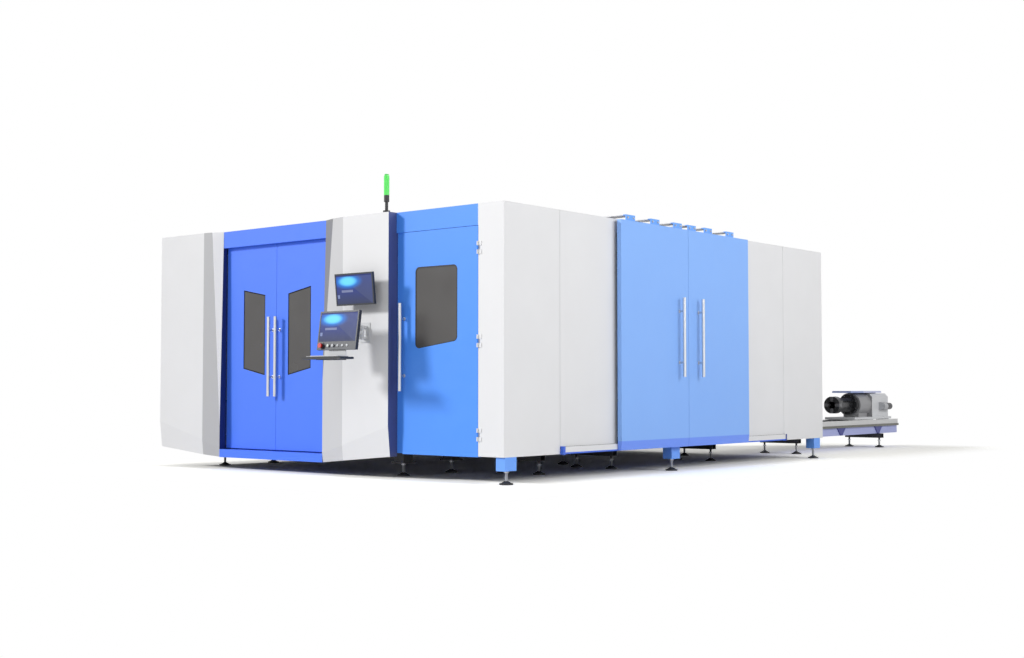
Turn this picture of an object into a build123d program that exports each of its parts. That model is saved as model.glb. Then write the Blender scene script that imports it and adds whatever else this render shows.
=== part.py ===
from build123d import *
import math
import os

os.makedirs("parts", exist_ok=True)

# Sheet and tube laser cutting machine in a full enclosure, in millimetres.
# X runs from the left wall to the right wall, Y from the front to the tail of the tube bed, Z up.
# Everything is laid out from the floor under the front right corner of the cabin, and moved at the
# end so that the origin lies on the floor under the middle of the whole machine.

# Cabin
CABIN_WIDTH = 4640.0
CABIN_LENGTH = 5780.0
CABIN_TOP = 2400.0
SKIRT_HEIGHT = 235.0
PANEL_DEPTH = 40.0
SHEET = 3.0
PANEL_SEAM = 4.0
FRAME_TUBE = 80.0
FRAME_WALL = 4.0
BASE_TUBE_HEIGHT = 100.0

# Front portal
PORTAL_DEPTH = 100.0
PORTAL_LEFT = -3705.0
PORTAL_RIGHT = -2180.0
PORTAL_END = -1267.0
RECESS_FOOT_Y = -54.0
RECESS_TOP_Y = -20.0
LEFT_CREASE = -3926.0
RIGHT_CREASE = -1862.0
LEFT_INNER_FACET = 115.0
RIGHT_INNER_FACET = 157.0
LEFT_FACET_TIP = 410.0
RIGHT_FACET_TIP = 880.0
HEADER_BOTTOM = 2235.0
SILL_TOP = 200.0
SILL_BOTTOM = 120.0
SKIRT_FOLD_OUT = 476.0
SKIRT_FOLD_CREASE = 291.0
SKIRT_FOLD_IN = 208.0
SKIRT_FOLD_LEAN = 28.0
PILLAR_BOTTOM_OUT = 204.0
PILLAR_BOTTOM_IN = 122.0

# Front doors
FRONT_DOOR_FACE = 30.0
FRONT_DOOR_DEPTH = 45.0
FRONT_DOOR_TOP = 2300.0
FRONT_DOOR_TRAVEL = 620.0
DOOR_SEAM = 4.0
SILL_GAP = 12.0
GLASS = 6.0
WINDOW_OUTER = 500.0
WINDOW_INNER = 172.0
WINDOW_TOP_OUTER = 1797.0
WINDOW_TOP_INNER = 1738.0
WINDOW_BOTTOM_OUTER = 1008.0
WINDOW_BOTTOM_INNER = 942.0
WINDOW_REBATE = 10.0

# Tube door
TUBE_DOOR_LEFT = -1183.0
COLUMN_WIDTH = 286.0
TUBE_DOOR_TOP = 2210.0
TUBE_DOOR_BOTTOM = 229.0
TUBE_DOOR_DEPTH = 45.0
JAMB_RECESS = 18.0
TUBE_WINDOW_LEFT = -1030.0
TUBE_WINDOW_RIGHT = -527.0
TUBE_WINDOW_TOP = 1892.0
TUBE_WINDOW_BOTTOM_LEFT = 1163.0
TUBE_WINDOW_BOTTOM_RIGHT = 1229.0
TUBE_WINDOW_CORNER = 45.0
HINGE_RADIUS = 9.0
HINGE_LENGTH = 110.0
TUBE_DOOR_SWING = 100.0

# Side doors
SIDE_PANEL_SEAM_1 = 768.0
SIDE_DOOR_START = 1600.0
SIDE_DOOR_SEAM = 2760.0
SIDE_DOOR_END = 3940.0
SIDE_PANEL_SEAM_2 = 4850.0
DOORWAY_LAP = 40.0
SIDE_DOOR_INNER = 34.0
SIDE_DOOR_DEPTH = 46.0
SIDE_DOOR_BOTTOM = 240.0
SIDE_DOOR_TOP = 2390.0
SIDE_DOOR_BAND = 85.0
SIDE_DOOR_BAND_LEAN = 10.0
SIDE_DOOR_TRAVEL = 780.0
GUIDE_RAIL_TOP = 300.0
GUIDE_RAIL_BOTTOM = 236.0
GUIDE_RAIL_WIDTH = 27.0
HANGER_WIDTH = 150.0
HANGER_RISE = 55.0
HANGER_SHEET = 8.0

# Pull handles
HANDLE_RADIUS = 16.0
STANDOFF_RADIUS = 9.0
STANDOFF = 58.0

# Signal tower
TOWER_X = -1345.0
TOWER_Y = -50.0
TOWER_RADIUS = 24.0

# Monitor and console
MONITOR_X = -1572.0
CONSOLE_X = -1556.0
CONSOLE_TILT = -8.0
MONITOR_TILT = 6.0

# Levelling feet
PAD_RADIUS = 60.0
PAD_HEIGHT = 30.0
STUD_RADIUS = 12.0
FOOT_BLOCK_HEIGHT = 117.0

# Machine bed and gantry
BED_CENTRE = -2840.0
GANTRY_TRACK = 2620.0
BED_START = 300.0
BED_END = 5300.0
SIDE_BEAM_WIDTH = 180.0
SIDE_BEAM_BOTTOM = 300.0
RAIL_BASE = 660.0
RAIL_WIDTH = 34.0
RAIL_HEIGHT = 30.0
RAIL_CLEARANCE = 0.5
TRUCK_HEIGHT = 130.0
BEAM_DEPTH = 260.0
BEAM_HEIGHT = 280.0
BEAM_Y = 4800.0
BEAM_OVERHANG_LEFT = 150.0
BEAM_RIGHT = -480.0
TABLE_WIDTH = 1600.0
TABLE_START = 1000.0
TABLE_LENGTH = 3100.0
SLAT_TOP = 600.0
SLAT_HEIGHT = 100.0
SLAT_THICKNESS = 4.0
SLAT_PITCH = 120.0
TOOTH_PITCH = 120.0
TOOTH_DEPTH = 35.0

# Tube line
TUBE_X = -890.0
TUBE_AXIS = 585.0
TUBE_BED_START = 1150.0
TUBE_BED_END = 9400.0
TUBE_BED_WIDTH = 460.0
TUBE_BEAM_WIDTH = 400.0
TUBE_BED_TOP = 320.0
TUBE_TOP_PLATE = 30.0
TUBE_BEAM_HEIGHT = 100.0
CROSS_BEAM_HEIGHT = 60.0
TUBE_RAIL_SPACING = 300.0
TUBE_STATIONS = (1310.0, 2480.0, 4390.0, 6400.0, 8780.0)
CHUCK_FRONT = 7810.0
NOSE_RADIUS = 113.0
NOSE_LENGTH = 120.0
SLEEVE_BORE = 55.0
SLEEVE_RADIUS = 72.0
FLANGE_RADIUS = 135.0
FLANGE_LENGTH = 60.0
FLANGE_START = 8280.0
DRUM_RADIUS = 160.0
DRUM_END = 8680.0
HOUSING_END = 9190.0
SLEEVE_END = 9160.0
JOURNAL_CLEARANCE = 0.3
JAW_WIDTH = 40.0
JAW_FOOT_WIDTH = 60.0
JAW_CLEARANCE = 0.3
JAW_INNER = 60.0
PORT_LEFT = -1290.0
PORT_RIGHT = -490.0
PORT_TOP = 980.0

# Derived sizes
CABIN_LEFT = -CABIN_WIDTH
WALL_LEFT = CABIN_LEFT + PANEL_DEPTH
WALL_RIGHT = -PANEL_DEPTH
FRAME_FRONT = 100.0
FRAME_BACK = CABIN_LENGTH - PANEL_DEPTH
BASE_TOP = SKIRT_HEIGHT + BASE_TUBE_HEIGHT
ROOF_FRAME_TOP = CABIN_TOP - PANEL_DEPTH
ROOF_FRAME_BOTTOM = ROOF_FRAME_TOP - FRAME_TUBE
PORTAL_CENTRE = (PORTAL_LEFT + PORTAL_RIGHT) / 2
SIDE_DOOR_FACE = SIDE_DOOR_INNER + SIDE_DOOR_DEPTH

nodes = {}


# Helpers for the shapes that the machine is built from

def block(x0, x1, y0, y1, z0, z1):
    """A rectangular solid between two corners."""
    centre = ((x0 + x1) / 2, (y0 + y1) / 2, (z0 + z1) / 2)
    return Pos(*centre) * Box(abs(x1 - x0), abs(y1 - y0), abs(z1 - z0))


def rod(axis, centre, radius, length):
    """A round bar along X, Y or Z about its centre."""
    turn = {"X": Rot(0, 90, 0), "Y": Rot(90, 0, 0), "Z": Rot(0, 0, 0)}[axis]
    return Pos(*centre) * turn * Cylinder(radius, length)


def square_tube(axis, x0, x1, y0, y1, z0, z1, wall=FRAME_WALL):
    """A rectangular hollow section along X, Y or Z, open at both ends."""
    inset = {"X": (0, wall, wall), "Y": (wall, 0, wall), "Z": (wall, wall, 0)}[axis]
    core = block(x0 + inset[0], x1 - inset[0], y0 + inset[1], y1 - inset[1], z0 + inset[2], z1 - inset[2])
    return block(x0, x1, y0, y1, z0, z1) - core


def tray(open_side, x0, x1, y0, y1, z0, z1, wall=SHEET):
    """A folded sheet panel with four returned edges, open on the side that is named."""
    low = [x0 + wall, y0 + wall, z0 + wall]
    high = [x1 - wall, y1 - wall, z1 - wall]
    index = "XYZ".index(open_side[1])
    if open_side[0] == "+":
        high[index] = (x1, y1, z1)[index]
    else:
        low[index] = (x0, y0, z0)[index]
    return block(x0, x1, y0, y1, z0, z1) - block(low[0], high[0], low[1], high[1], low[2], high[2])


def prism_z(points, z0, z1):
    """An outline of X, Y points raised from z0 to z1."""
    return extrude(Plane.XY.offset(z0) * make_face(Polyline(*points, close=True)), amount=z1 - z0)


def prism_y(points, y0, y1):
    """An outline of X, Z points run from y0 to y1."""
    plane = Plane(origin=(0, y1, 0), x_dir=(1, 0, 0), z_dir=(0, -1, 0))
    return extrude(plane * make_face(Polyline(*points, close=True)), amount=y1 - y0)


def prism_x(points, x0, x1):
    """An outline of Y, Z points run from x0 to x1."""
    plane = Plane(origin=(x0, 0, 0), x_dir=(0, 1, 0), z_dir=(1, 0, 0))
    return extrude(plane * make_face(Polyline(*points, close=True)), amount=x1 - x0)


def bent_strip(points, thickness=SHEET):
    """The outline of a folded sheet whose left face follows the points."""
    normals = []
    for (xa, ya), (xb, yb) in zip(points, points[1:]):
        run = math.hypot(xb - xa, yb - ya)
        normals.append(((yb - ya) / run, -(xb - xa) / run))
    inner = []
    for index, (x, y) in enumerate(points):
        before = normals[max(index - 1, 0)]
        after = normals[min(index, len(normals) - 1)]
        scale = thickness / (1 + before[0] * after[0] + before[1] * after[1])
        inner.append((x + scale * (before[0] + after[0]), y + scale * (before[1] + after[1])))
    return list(points) + inner[::-1]


def cutting_plane(a, b, c, inside):
    """The plane through three points, facing away from a point of the material."""
    start = Vector(*a)
    along = Vector(*b) - start
    normal = along.cross(Vector(*c) - start).normalized()
    if normal.dot(Vector(*inside) - start) > 0:
        normal = normal * -1
    return Plane(origin=start, x_dir=along, z_dir=normal)


def cut_away(solid, plane):
    """The part of a solid that lies behind a plane."""
    return split(solid, bisect_by=plane, keep=Keep.BOTTOM)


def pull_handle(position, bottom, top, standoff_heights, outward):
    """A round vertical pull bar on two standoffs; position is the point on the door's face."""
    x, y = position
    dx, dy = outward
    bar = rod("Z", (x + dx * STANDOFF, y + dy * STANDOFF, (bottom + top) / 2), HANDLE_RADIUS, top - bottom)
    axis = "X" if dx else "Y"
    for height in standoff_heights:
        bar += rod(axis, (x + dx * STANDOFF / 2, y + dy * STANDOFF / 2, height), STANDOFF_RADIUS, STANDOFF)
    return bar


def levelling_foot(x, y, top):
    """A threaded stud that ends in a round pad with a conical neck."""
    neck = PAD_HEIGHT * 0.6
    pad = Pos(x, y, PAD_HEIGHT / 4) * Cylinder(PAD_RADIUS, PAD_HEIGHT / 2)
    cone = Pos(x, y, PAD_HEIGHT / 2 + neck / 2) * Cone(PAD_RADIUS * 0.8, STUD_RADIUS * 1.5, neck)
    start = PAD_HEIGHT / 2 + neck
    return pad + cone + rod("Z", (x, y, (start + top) / 2), STUD_RADIUS, top - start)


# Enclosure frame: base members, posts and roof members, bolted together

def enclosure_frame():
    left = (WALL_LEFT, WALL_LEFT + FRAME_TUBE)
    right = (WALL_RIGHT - FRAME_TUBE, WALL_RIGHT)
    front = (FRAME_FRONT, FRAME_FRONT + FRAME_TUBE)
    back = (FRAME_BACK - FRAME_TUBE, FRAME_BACK)
    base = (SKIRT_HEIGHT, BASE_TOP)
    roof = (ROOF_FRAME_BOTTOM, ROOF_FRAME_TOP)
    post = (BASE_TOP, ROOF_FRAME_BOTTOM)
    members = []
    for low, high in (base, roof):
        members.append(square_tube("Y", *left, FRAME_FRONT, FRAME_BACK, low, high))
        members.append(square_tube("Y", *right, FRAME_FRONT, FRAME_BACK, low, high))
        members.append(square_tube("X", left[1], right[0], *front, low, high))
    members.append(square_tube("X", left[1], right[0], *back, *roof))
    members.append(square_tube("X", left[1], PORT_LEFT, *back, *base))
    members.append(square_tube("X", PORT_RIGHT, right[0], *back, *base))
    for y in (CABIN_LENGTH / 3, 2 * CABIN_LENGTH / 3):
        members.append(square_tube("X", left[1], right[0], y, y + FRAME_TUBE, *roof))
    for x in (BED_CENTRE - GANTRY_TRACK / 2, BED_CENTRE + GANTRY_TRACK / 2):
        members.append(square_tube("Y", x - FRAME_TUBE / 2, x + FRAME_TUBE / 2, front[1], BED_START, *base))
    doorway = (SIDE_DOOR_START + DOORWAY_LAP, SIDE_DOOR_END - DOORWAY_LAP)
    right_posts = (FRAME_FRONT, doorway[0] - FRAME_TUBE, doorway[1], back[0])
    for y in right_posts:
        members.append(square_tube("Z", *right, y, y + FRAME_TUBE, *post))
    for y in (FRAME_FRONT, CABIN_LENGTH / 3, 2 * CABIN_LENGTH / 3, back[0]):
        members.append(square_tube("Z", *left, y, y + FRAME_TUBE, *post))
    tube_jamb = PORTAL_END - FRAME_TUBE
    for x in (PORTAL_LEFT - FRAME_TUBE, PORTAL_RIGHT, tube_jamb):
        members.append(square_tube("Z", x, x + FRAME_TUBE, *front, *post))
    for x in (PORT_LEFT - FRAME_TUBE, PORT_RIGHT):
        members.append(square_tube("Z", x, x + FRAME_TUBE, *back, *post))
    return members


def roof_panels():
    count = 4
    first = FRAME_FRONT
    length = (CABIN_LENGTH - PANEL_DEPTH - first) / count
    panels = []
    for index in range(count):
        start = first + index * length
        end = start + length - PANEL_SEAM
        panels.append(tray("-Z", WALL_LEFT + PANEL_SEAM, WALL_RIGHT - PANEL_SEAM, start, end, ROOF_FRAME_TOP, CABIN_TOP))
    back = FRONT_DOOR_FACE - 8
    panels.append(block(CABIN_LEFT + SHEET, PORTAL_LEFT, back, FRAME_FRONT - SHEET, CABIN_TOP - SHEET, CABIN_TOP))
    panels.append(block(PORTAL_RIGHT, PORTAL_END, back, FRAME_FRONT, CABIN_TOP - SHEET, CABIN_TOP))
    return panels


def left_wall_panels():
    count = 5
    first = FRAME_FRONT
    length = (CABIN_LENGTH - first) / count
    panels = []
    for index in range(count):
        start = first + index * length
        panels.append(tray("+X", CABIN_LEFT, WALL_LEFT, start, start + length - PANEL_SEAM, SKIRT_HEIGHT, CABIN_TOP))
    return panels


def back_wall_panels():
    edges = (WALL_LEFT + PANEL_SEAM, -3500.0, -2400.0, PORT_LEFT)
    panels = []
    for low, high in zip(edges, edges[1:]):
        panels.append(tray("-Y", low, high - PANEL_SEAM, FRAME_BACK, CABIN_LENGTH, SKIRT_HEIGHT, CABIN_TOP))
    panels.append(tray("-Y", PORT_LEFT, PORT_RIGHT, FRAME_BACK, CABIN_LENGTH, PORT_TOP, CABIN_TOP))
    right = (PORT_RIGHT + PANEL_SEAM, WALL_RIGHT - PANEL_SEAM)
    panels.append(tray("-Y", *right, FRAME_BACK, CABIN_LENGTH, SKIRT_HEIGHT, CABIN_TOP))
    return panels


def side_wall_panels():
    low = GUIDE_RAIL_TOP + 2
    front = (SIDE_PANEL_SEAM_1 + PANEL_SEAM, SIDE_DOOR_START + DOORWAY_LAP)
    rear = (SIDE_DOOR_END - DOORWAY_LAP, SIDE_PANEL_SEAM_2 - PANEL_SEAM)
    last = (SIDE_PANEL_SEAM_2, CABIN_LENGTH)
    return [
        tray("-X", WALL_RIGHT, 0, *front, low, CABIN_TOP),
        tray("-X", WALL_RIGHT, 0, *rear, low, CABIN_TOP),
        tray("-X", WALL_RIGHT, 0, *last, SKIRT_HEIGHT, CABIN_TOP),
        tray("-X", WALL_RIGHT, 0, front[1], rear[0], ROOF_FRAME_BOTTOM, CABIN_TOP),
    ]


def corner_cover():
    """The folded cover of the front right corner, with the strip that closes its top."""
    path = [
        (-COLUMN_WIDTH + SHEET + 9, PANEL_DEPTH),
        (-COLUMN_WIDTH, PANEL_DEPTH),
        (-COLUMN_WIDTH, 0),
        (0, 0),
        (0, SIDE_PANEL_SEAM_1),
        (-PANEL_DEPTH, SIDE_PANEL_SEAM_1),
    ]
    cover = prism_z(bent_strip(path, -SHEET), SKIRT_HEIGHT, CABIN_TOP)
    top = [
        (-COLUMN_WIDTH + 1, 1),
        (-1, 1),
        (-1, SIDE_PANEL_SEAM_1 - 1),
        (WALL_RIGHT, SIDE_PANEL_SEAM_1 - 1),
        (WALL_RIGHT, FRAME_FRONT),
        (-COLUMN_WIDTH + 1, FRAME_FRONT),
    ]
    return [cover + prism_z(top, CABIN_TOP - SHEET, CABIN_TOP)]


# Portal covers: folded pillars with crossing facets

def pillar_cover(outer_x, recess_x, crease_x, inner_facet, facet_tip, back_y):
    """One faceted pillar. The outer facet is upright, the inner facet is a tall triangle, and below
    a fold that climbs towards the outside both the front and the facet lean in."""
    way = 1 if recess_x > outer_x else -1
    low_x, high_x = min(outer_x, recess_x), max(outer_x, recess_x)
    front = -PORTAL_DEPTH
    inside = ((outer_x + recess_x) / 2, 0, CABIN_TOP / 2)
    facet_run = abs(recess_x - crease_x)
    facet_slope = (RECESS_FOOT_Y - front) / facet_run
    split_x = recess_x - way * inner_facet
    split_y = front + facet_slope * abs(split_x - crease_x)
    body = block(low_x, high_x, front, back_y, SILL_BOTTOM - 60, CABIN_TOP)
    outer_facet = cutting_plane(
        (crease_x, front, 0), (crease_x, front, CABIN_TOP), (recess_x, RECESS_FOOT_Y, 0), inside)
    tip = (recess_x, RECESS_FOOT_Y, facet_tip)
    inner_plane = cutting_plane(
        (split_x, split_y, CABIN_TOP), (recess_x, RECESS_TOP_Y, CABIN_TOP), tip, inside)
    drop = SKIRT_FOLD_OUT - PILLAR_BOTTOM_OUT
    front_fold = cutting_plane(
        (outer_x, front, SKIRT_FOLD_OUT), (crease_x, front, SKIRT_FOLD_CREASE),
        (outer_x, front + SKIRT_FOLD_LEAN, SKIRT_FOLD_OUT - drop), inside)
    facet_fold = cutting_plane(
        (crease_x, front, SKIRT_FOLD_CREASE), (recess_x, RECESS_FOOT_Y, SKIRT_FOLD_IN),
        (crease_x, front + SKIRT_FOLD_LEAN, SKIRT_FOLD_CREASE - drop), inside)
    bottom = cutting_plane(
        (outer_x, front, PILLAR_BOTTOM_OUT), (outer_x, 0, PILLAR_BOTTOM_OUT),
        (recess_x, 0, PILLAR_BOTTOM_IN), inside)
    for plane in (outer_facet, inner_plane, front_fold, facet_fold):
        body = cut_away(body, plane)
    hollow = Pos(0, SHEET, 0) * body
    room = block(low_x + SHEET, high_x - SHEET, front, back_y + SHEET, SILL_BOTTOM - 100, CABIN_TOP - SHEET)
    return cut_away(body - (hollow & room), bottom)


def left_pillar_cover():
    cover = pillar_cover(
        CABIN_LEFT, PORTAL_LEFT, LEFT_CREASE, LEFT_INNER_FACET, LEFT_FACET_TIP, FRONT_DOOR_FACE - 8)
    side_return = [(CABIN_LEFT, FRONT_DOOR_FACE - 8), (CABIN_LEFT, FRAME_FRONT), (WALL_LEFT + 30, FRAME_FRONT)]
    return [cover, prism_z(bent_strip(side_return), SKIRT_HEIGHT, CABIN_TOP)]


def right_pillar_cover():
    cover = pillar_cover(
        PORTAL_END, PORTAL_RIGHT, RIGHT_CREASE, RIGHT_INNER_FACET, RIGHT_FACET_TIP, JAMB_RECESS)
    return [cover]


def portal_frame():
    """Header, sill and the door track that joins both pillars."""
    header_path = [
        (FRAME_FRONT, CABIN_TOP),
        (RECESS_TOP_Y, CABIN_TOP),
        (RECESS_TOP_Y, HEADER_BOTTOM),
        (FRONT_DOOR_FACE - 8, HEADER_BOTTOM),
    ]
    header = prism_x(bent_strip(header_path, -SHEET), PORTAL_LEFT, PORTAL_RIGHT)
    sill_path = [
        (FRAME_FRONT - SHEET, BASE_TOP - 40),
        (FRAME_FRONT - SHEET, SILL_TOP),
        (RECESS_FOOT_Y, SILL_TOP),
        (RECESS_FOOT_Y, SILL_BOTTOM),
        (RECESS_FOOT_Y + 40, SILL_BOTTOM),
    ]
    sill = prism_x(bent_strip(sill_path, -SHEET), PORTAL_LEFT, PORTAL_RIGHT)
    return [header, sill]


def door_track():
    """A box rail with a slot along its underside, and its fixing flange on the front roof member."""
    track_low = FRONT_DOOR_TOP + 14
    track_high = track_low + 34
    mid = FRONT_DOOR_FACE + FRONT_DOOR_DEPTH / 2
    half = 18.0
    rail = block(CABIN_LEFT + 90, PORTAL_END - 60, mid - half, mid + half, track_low, track_high)
    rail -= block(CABIN_LEFT, 0, mid - half + 3, mid + half - 3, track_low + 3, track_high - 3)
    rail -= block(CABIN_LEFT, 0, mid - 6, mid + 6, track_low - 1, track_low + 4)
    flange = block(CABIN_LEFT + 90, PORTAL_END - 60, mid + half, FRAME_FRONT, track_high - 6, track_high)
    return [rail + flange]


def tube_doorway_frame():
    """Header, stepped left jamb and threshold of the tube door."""
    header_bottom = TUBE_DOOR_TOP + DOOR_SEAM
    header = tray("+Y", PORTAL_END + 1, -COLUMN_WIDTH - 1, 0, FRAME_FRONT, header_bottom, CABIN_TOP)
    stop = TUBE_DOOR_DEPTH + 3
    jamb_path = [
        (PORTAL_END + 1, FRAME_FRONT),
        (PORTAL_END + 1, JAMB_RECESS),
        (TUBE_DOOR_LEFT - DOOR_SEAM, JAMB_RECESS),
        (TUBE_DOOR_LEFT - DOOR_SEAM, stop),
        (TUBE_DOOR_LEFT + 30, stop),
        (TUBE_DOOR_LEFT + 30, FRAME_FRONT),
    ]
    jamb = prism_z(bent_strip(jamb_path, -SHEET), SKIRT_HEIGHT, header_bottom)
    right_path = [
        (-COLUMN_WIDTH - 36, FRAME_FRONT),
        (-COLUMN_WIDTH - 36, stop),
        (-COLUMN_WIDTH + 12, stop),
    ]
    right = prism_z(bent_strip(right_path, -SHEET), SKIRT_HEIGHT, header_bottom)
    return [header, jamb, right]


# Sliding side doors and the rails that carry them

def side_door_rails():
    """Roof rail under the hangers, and the slotted guide rail along the skirt with its brackets."""
    start = SIDE_PANEL_SEAM_1 + 35
    end = SIDE_PANEL_SEAM_2 - 30
    roof_rail = block(-185, -165, start, end, CABIN_TOP, CABIN_TOP + 18)
    guide_path = [
        (SHEET, GUIDE_RAIL_TOP),
        (SHEET, GUIDE_RAIL_BOTTOM),
        (SHEET + GUIDE_RAIL_WIDTH, GUIDE_RAIL_BOTTOM),
        (SHEET + GUIDE_RAIL_WIDTH, GUIDE_RAIL_TOP),
    ]
    guide = prism_y(bent_strip(guide_path, -SHEET), start, end)
    backing = block(WALL_RIGHT, SHEET, start, end, GUIDE_RAIL_BOTTOM, GUIDE_RAIL_BOTTOM + 40)
    solids = [roof_rail, guide, backing]
    for y in (start - 30, end):
        solids.append(block(0.5, SHEET + GUIDE_RAIL_WIDTH + 6, y, y + 30, GUIDE_RAIL_BOTTOM - 6, GUIDE_RAIL_TOP + 4))
    return solids


def side_door_leaf(start, end):
    """A folded tray whose bottom band leans in."""
    leaf = block(SIDE_DOOR_INNER, SIDE_DOOR_FACE, start, end, SIDE_DOOR_BOTTOM, SIDE_DOOR_TOP)
    band = SIDE_DOOR_BOTTOM + SIDE_DOOR_BAND
    fold = cutting_plane(
        (SIDE_DOOR_FACE, start, band), (SIDE_DOOR_FACE, end, band),
        (SIDE_DOOR_FACE - SIDE_DOOR_BAND_LEAN, start, SIDE_DOOR_BOTTOM), (0, start, CABIN_TOP))
    leaf = cut_away(leaf, fold)
    hollow = Pos(-SHEET, 0, 0) * leaf
    room = block(
        SIDE_DOOR_INNER - SHEET, SIDE_DOOR_FACE, start + SHEET, end - SHEET,
        SIDE_DOOR_BOTTOM + SHEET, SIDE_DOOR_TOP - SHEET)
    stiffener = block(
        SIDE_DOOR_INNER, SIDE_DOOR_FACE - SHEET, start + SHEET, end - SHEET,
        GUIDE_RAIL_TOP + 34, GUIDE_RAIL_TOP + 40)
    return [leaf - (hollow & room) + stiffener]


def side_door_hangers(centres, start, end):
    """Folded hangers that reach back to carriages on the roof rail, and two guide shoes."""
    top = SIDE_DOOR_TOP + HANGER_RISE
    front = SIDE_DOOR_FACE - 14
    solids = []
    for y in centres:
        low, high = y - HANGER_WIDTH / 2, y + HANGER_WIDTH / 2
        path = [
            (front, SIDE_DOOR_TOP),
            (front, top),
            (-209, top),
            (-209, top - HANGER_SHEET - 4),
        ]
        bracket = prism_y(bent_strip(path, -HANGER_SHEET), low, high)
        carriage = block(-200, -150, low + 25, high - 25, CABIN_TOP + 4, top - HANGER_SHEET)
        slot_low, slot_high = -185 - RAIL_CLEARANCE, -165 + RAIL_CLEARANCE
        carriage -= block(slot_low, slot_high, low, high, CABIN_TOP, CABIN_TOP + 18 + RAIL_CLEARANCE)
        solids += [bracket, carriage]
    middle = SHEET + GUIDE_RAIL_WIDTH / 2
    for y in (start + 120, end - 120):
        shoe_path = [
            (SIDE_DOOR_INNER, GUIDE_RAIL_TOP + 34),
            (middle + 3, GUIDE_RAIL_TOP + 34),
            (middle + 3, GUIDE_RAIL_BOTTOM + 12),
        ]
        solids.append(prism_y(bent_strip(shoe_path, 6), y - 30, y + 30))
    return solids


# Front doors

def front_window_outline(side, grow=0.0):
    """The slanted window; side is -1 for the left door and 1 for the right door."""
    outer, inner = WINDOW_OUTER + grow, WINDOW_INNER - grow
    return [
        (PORTAL_CENTRE + side * outer, WINDOW_TOP_OUTER + grow),
        (PORTAL_CENTRE + side * inner, WINDOW_TOP_INNER + grow),
        (PORTAL_CENTRE + side * inner, WINDOW_BOTTOM_INNER - grow),
        (PORTAL_CENTRE + side * outer, WINDOW_BOTTOM_OUTER - grow),
    ]


def front_door(side):
    """Folded leaf with a frame round its window, and two hangers that ride in the track."""
    edge = PORTAL_LEFT + DOOR_SEAM if side < 0 else PORTAL_RIGHT - DOOR_SEAM
    seam = PORTAL_CENTRE + side * DOOR_SEAM / 2
    low_x, high_x = min(edge, seam), max(edge, seam)
    face, rear = FRONT_DOOR_FACE, FRONT_DOOR_FACE + FRONT_DOOR_DEPTH
    low_z = SILL_TOP + SILL_GAP
    leaf = tray("+Y", low_x, high_x, face, rear, low_z, FRONT_DOOR_TOP)
    frame = front_window_outline(side, WINDOW_REBATE + 5)
    pane = front_window_outline(side, WINDOW_REBATE)
    leaf += prism_y(frame, face + SHEET, face + 24)
    leaf -= prism_y(pane, face + SHEET, face + 25)
    leaf -= prism_y(front_window_outline(side), face - 1, face + 25)
    solids = [leaf]
    mid = (face + rear) / 2
    track_low = FRONT_DOOR_TOP + 14
    for x in (low_x + 120, high_x - 120):
        stem = block(x - 30, x + 30, mid - 4, mid + 4, FRONT_DOOR_TOP, track_low + 6)
        shoe = block(x - 30, x + 30, mid - 14, mid + 14, track_low + 3 + RAIL_CLEARANCE, track_low + 25)
        solids.append(stem + shoe)
    return solids


def front_window(side):
    outline = front_window_outline(side, WINDOW_REBATE - 0.5)
    return [prism_y(outline, FRONT_DOOR_FACE + SHEET, FRONT_DOOR_FACE + SHEET + GLASS)]


def front_handle(side):
    return [pull_handle((PORTAL_CENTRE + side * 50, FRONT_DOOR_FACE), 735, 1515, (925, 1385), (0, -1))]


# Tube door

def tube_window_outline(grow=0.0):
    """The window of the tube door: its foot climbs towards the hinge side."""
    return [
        (TUBE_WINDOW_LEFT - grow, TUBE_WINDOW_BOTTOM_LEFT - grow),
        (TUBE_WINDOW_LEFT - grow, TUBE_WINDOW_TOP + grow),
        (TUBE_WINDOW_RIGHT + grow, TUBE_WINDOW_TOP + grow),
        (TUBE_WINDOW_RIGHT + grow, TUBE_WINDOW_BOTTOM_RIGHT - grow),
    ]


def rounded_prism_y(points, radius, y0, y1):
    solid = prism_y(points, y0, y1)
    return fillet(solid.edges().filter_by(Axis.Y), radius)


HINGE_X = -COLUMN_WIDTH - 2
HINGE_Y = -HINGE_RADIUS - 1
HINGE_HEIGHTS = (420.0, 1220.0, 2020.0)


def tube_door():
    leaf = tray(
        "+Y", TUBE_DOOR_LEFT, -COLUMN_WIDTH - DOOR_SEAM, 0, TUBE_DOOR_DEPTH, TUBE_DOOR_BOTTOM, TUBE_DOOR_TOP)
    leaf += rounded_prism_y(tube_window_outline(15), TUBE_WINDOW_CORNER + 15, SHEET, 24)
    leaf -= rounded_prism_y(tube_window_outline(WINDOW_REBATE), TUBE_WINDOW_CORNER + WINDOW_REBATE, SHEET, 25)
    leaf -= rounded_prism_y(tube_window_outline(), TUBE_WINDOW_CORNER, -1, 25)
    solids = [leaf]
    third = HINGE_LENGTH / 3
    for z in HINGE_HEIGHTS:
        knuckle = rod("Z", (HINGE_X, HINGE_Y, z), HINGE_RADIUS, third - 1)
        knuckle += block(HINGE_X - 40, HINGE_X, HINGE_Y + HINGE_RADIUS - 4, 0, z - third / 2 + 0.5, z + third / 2 - 0.5)
        bore = rod("Z", (HINGE_X, HINGE_Y, z), HINGE_RADIUS / 2 + 0.08, third)
        solids.append(knuckle - bore)
    return solids


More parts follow.
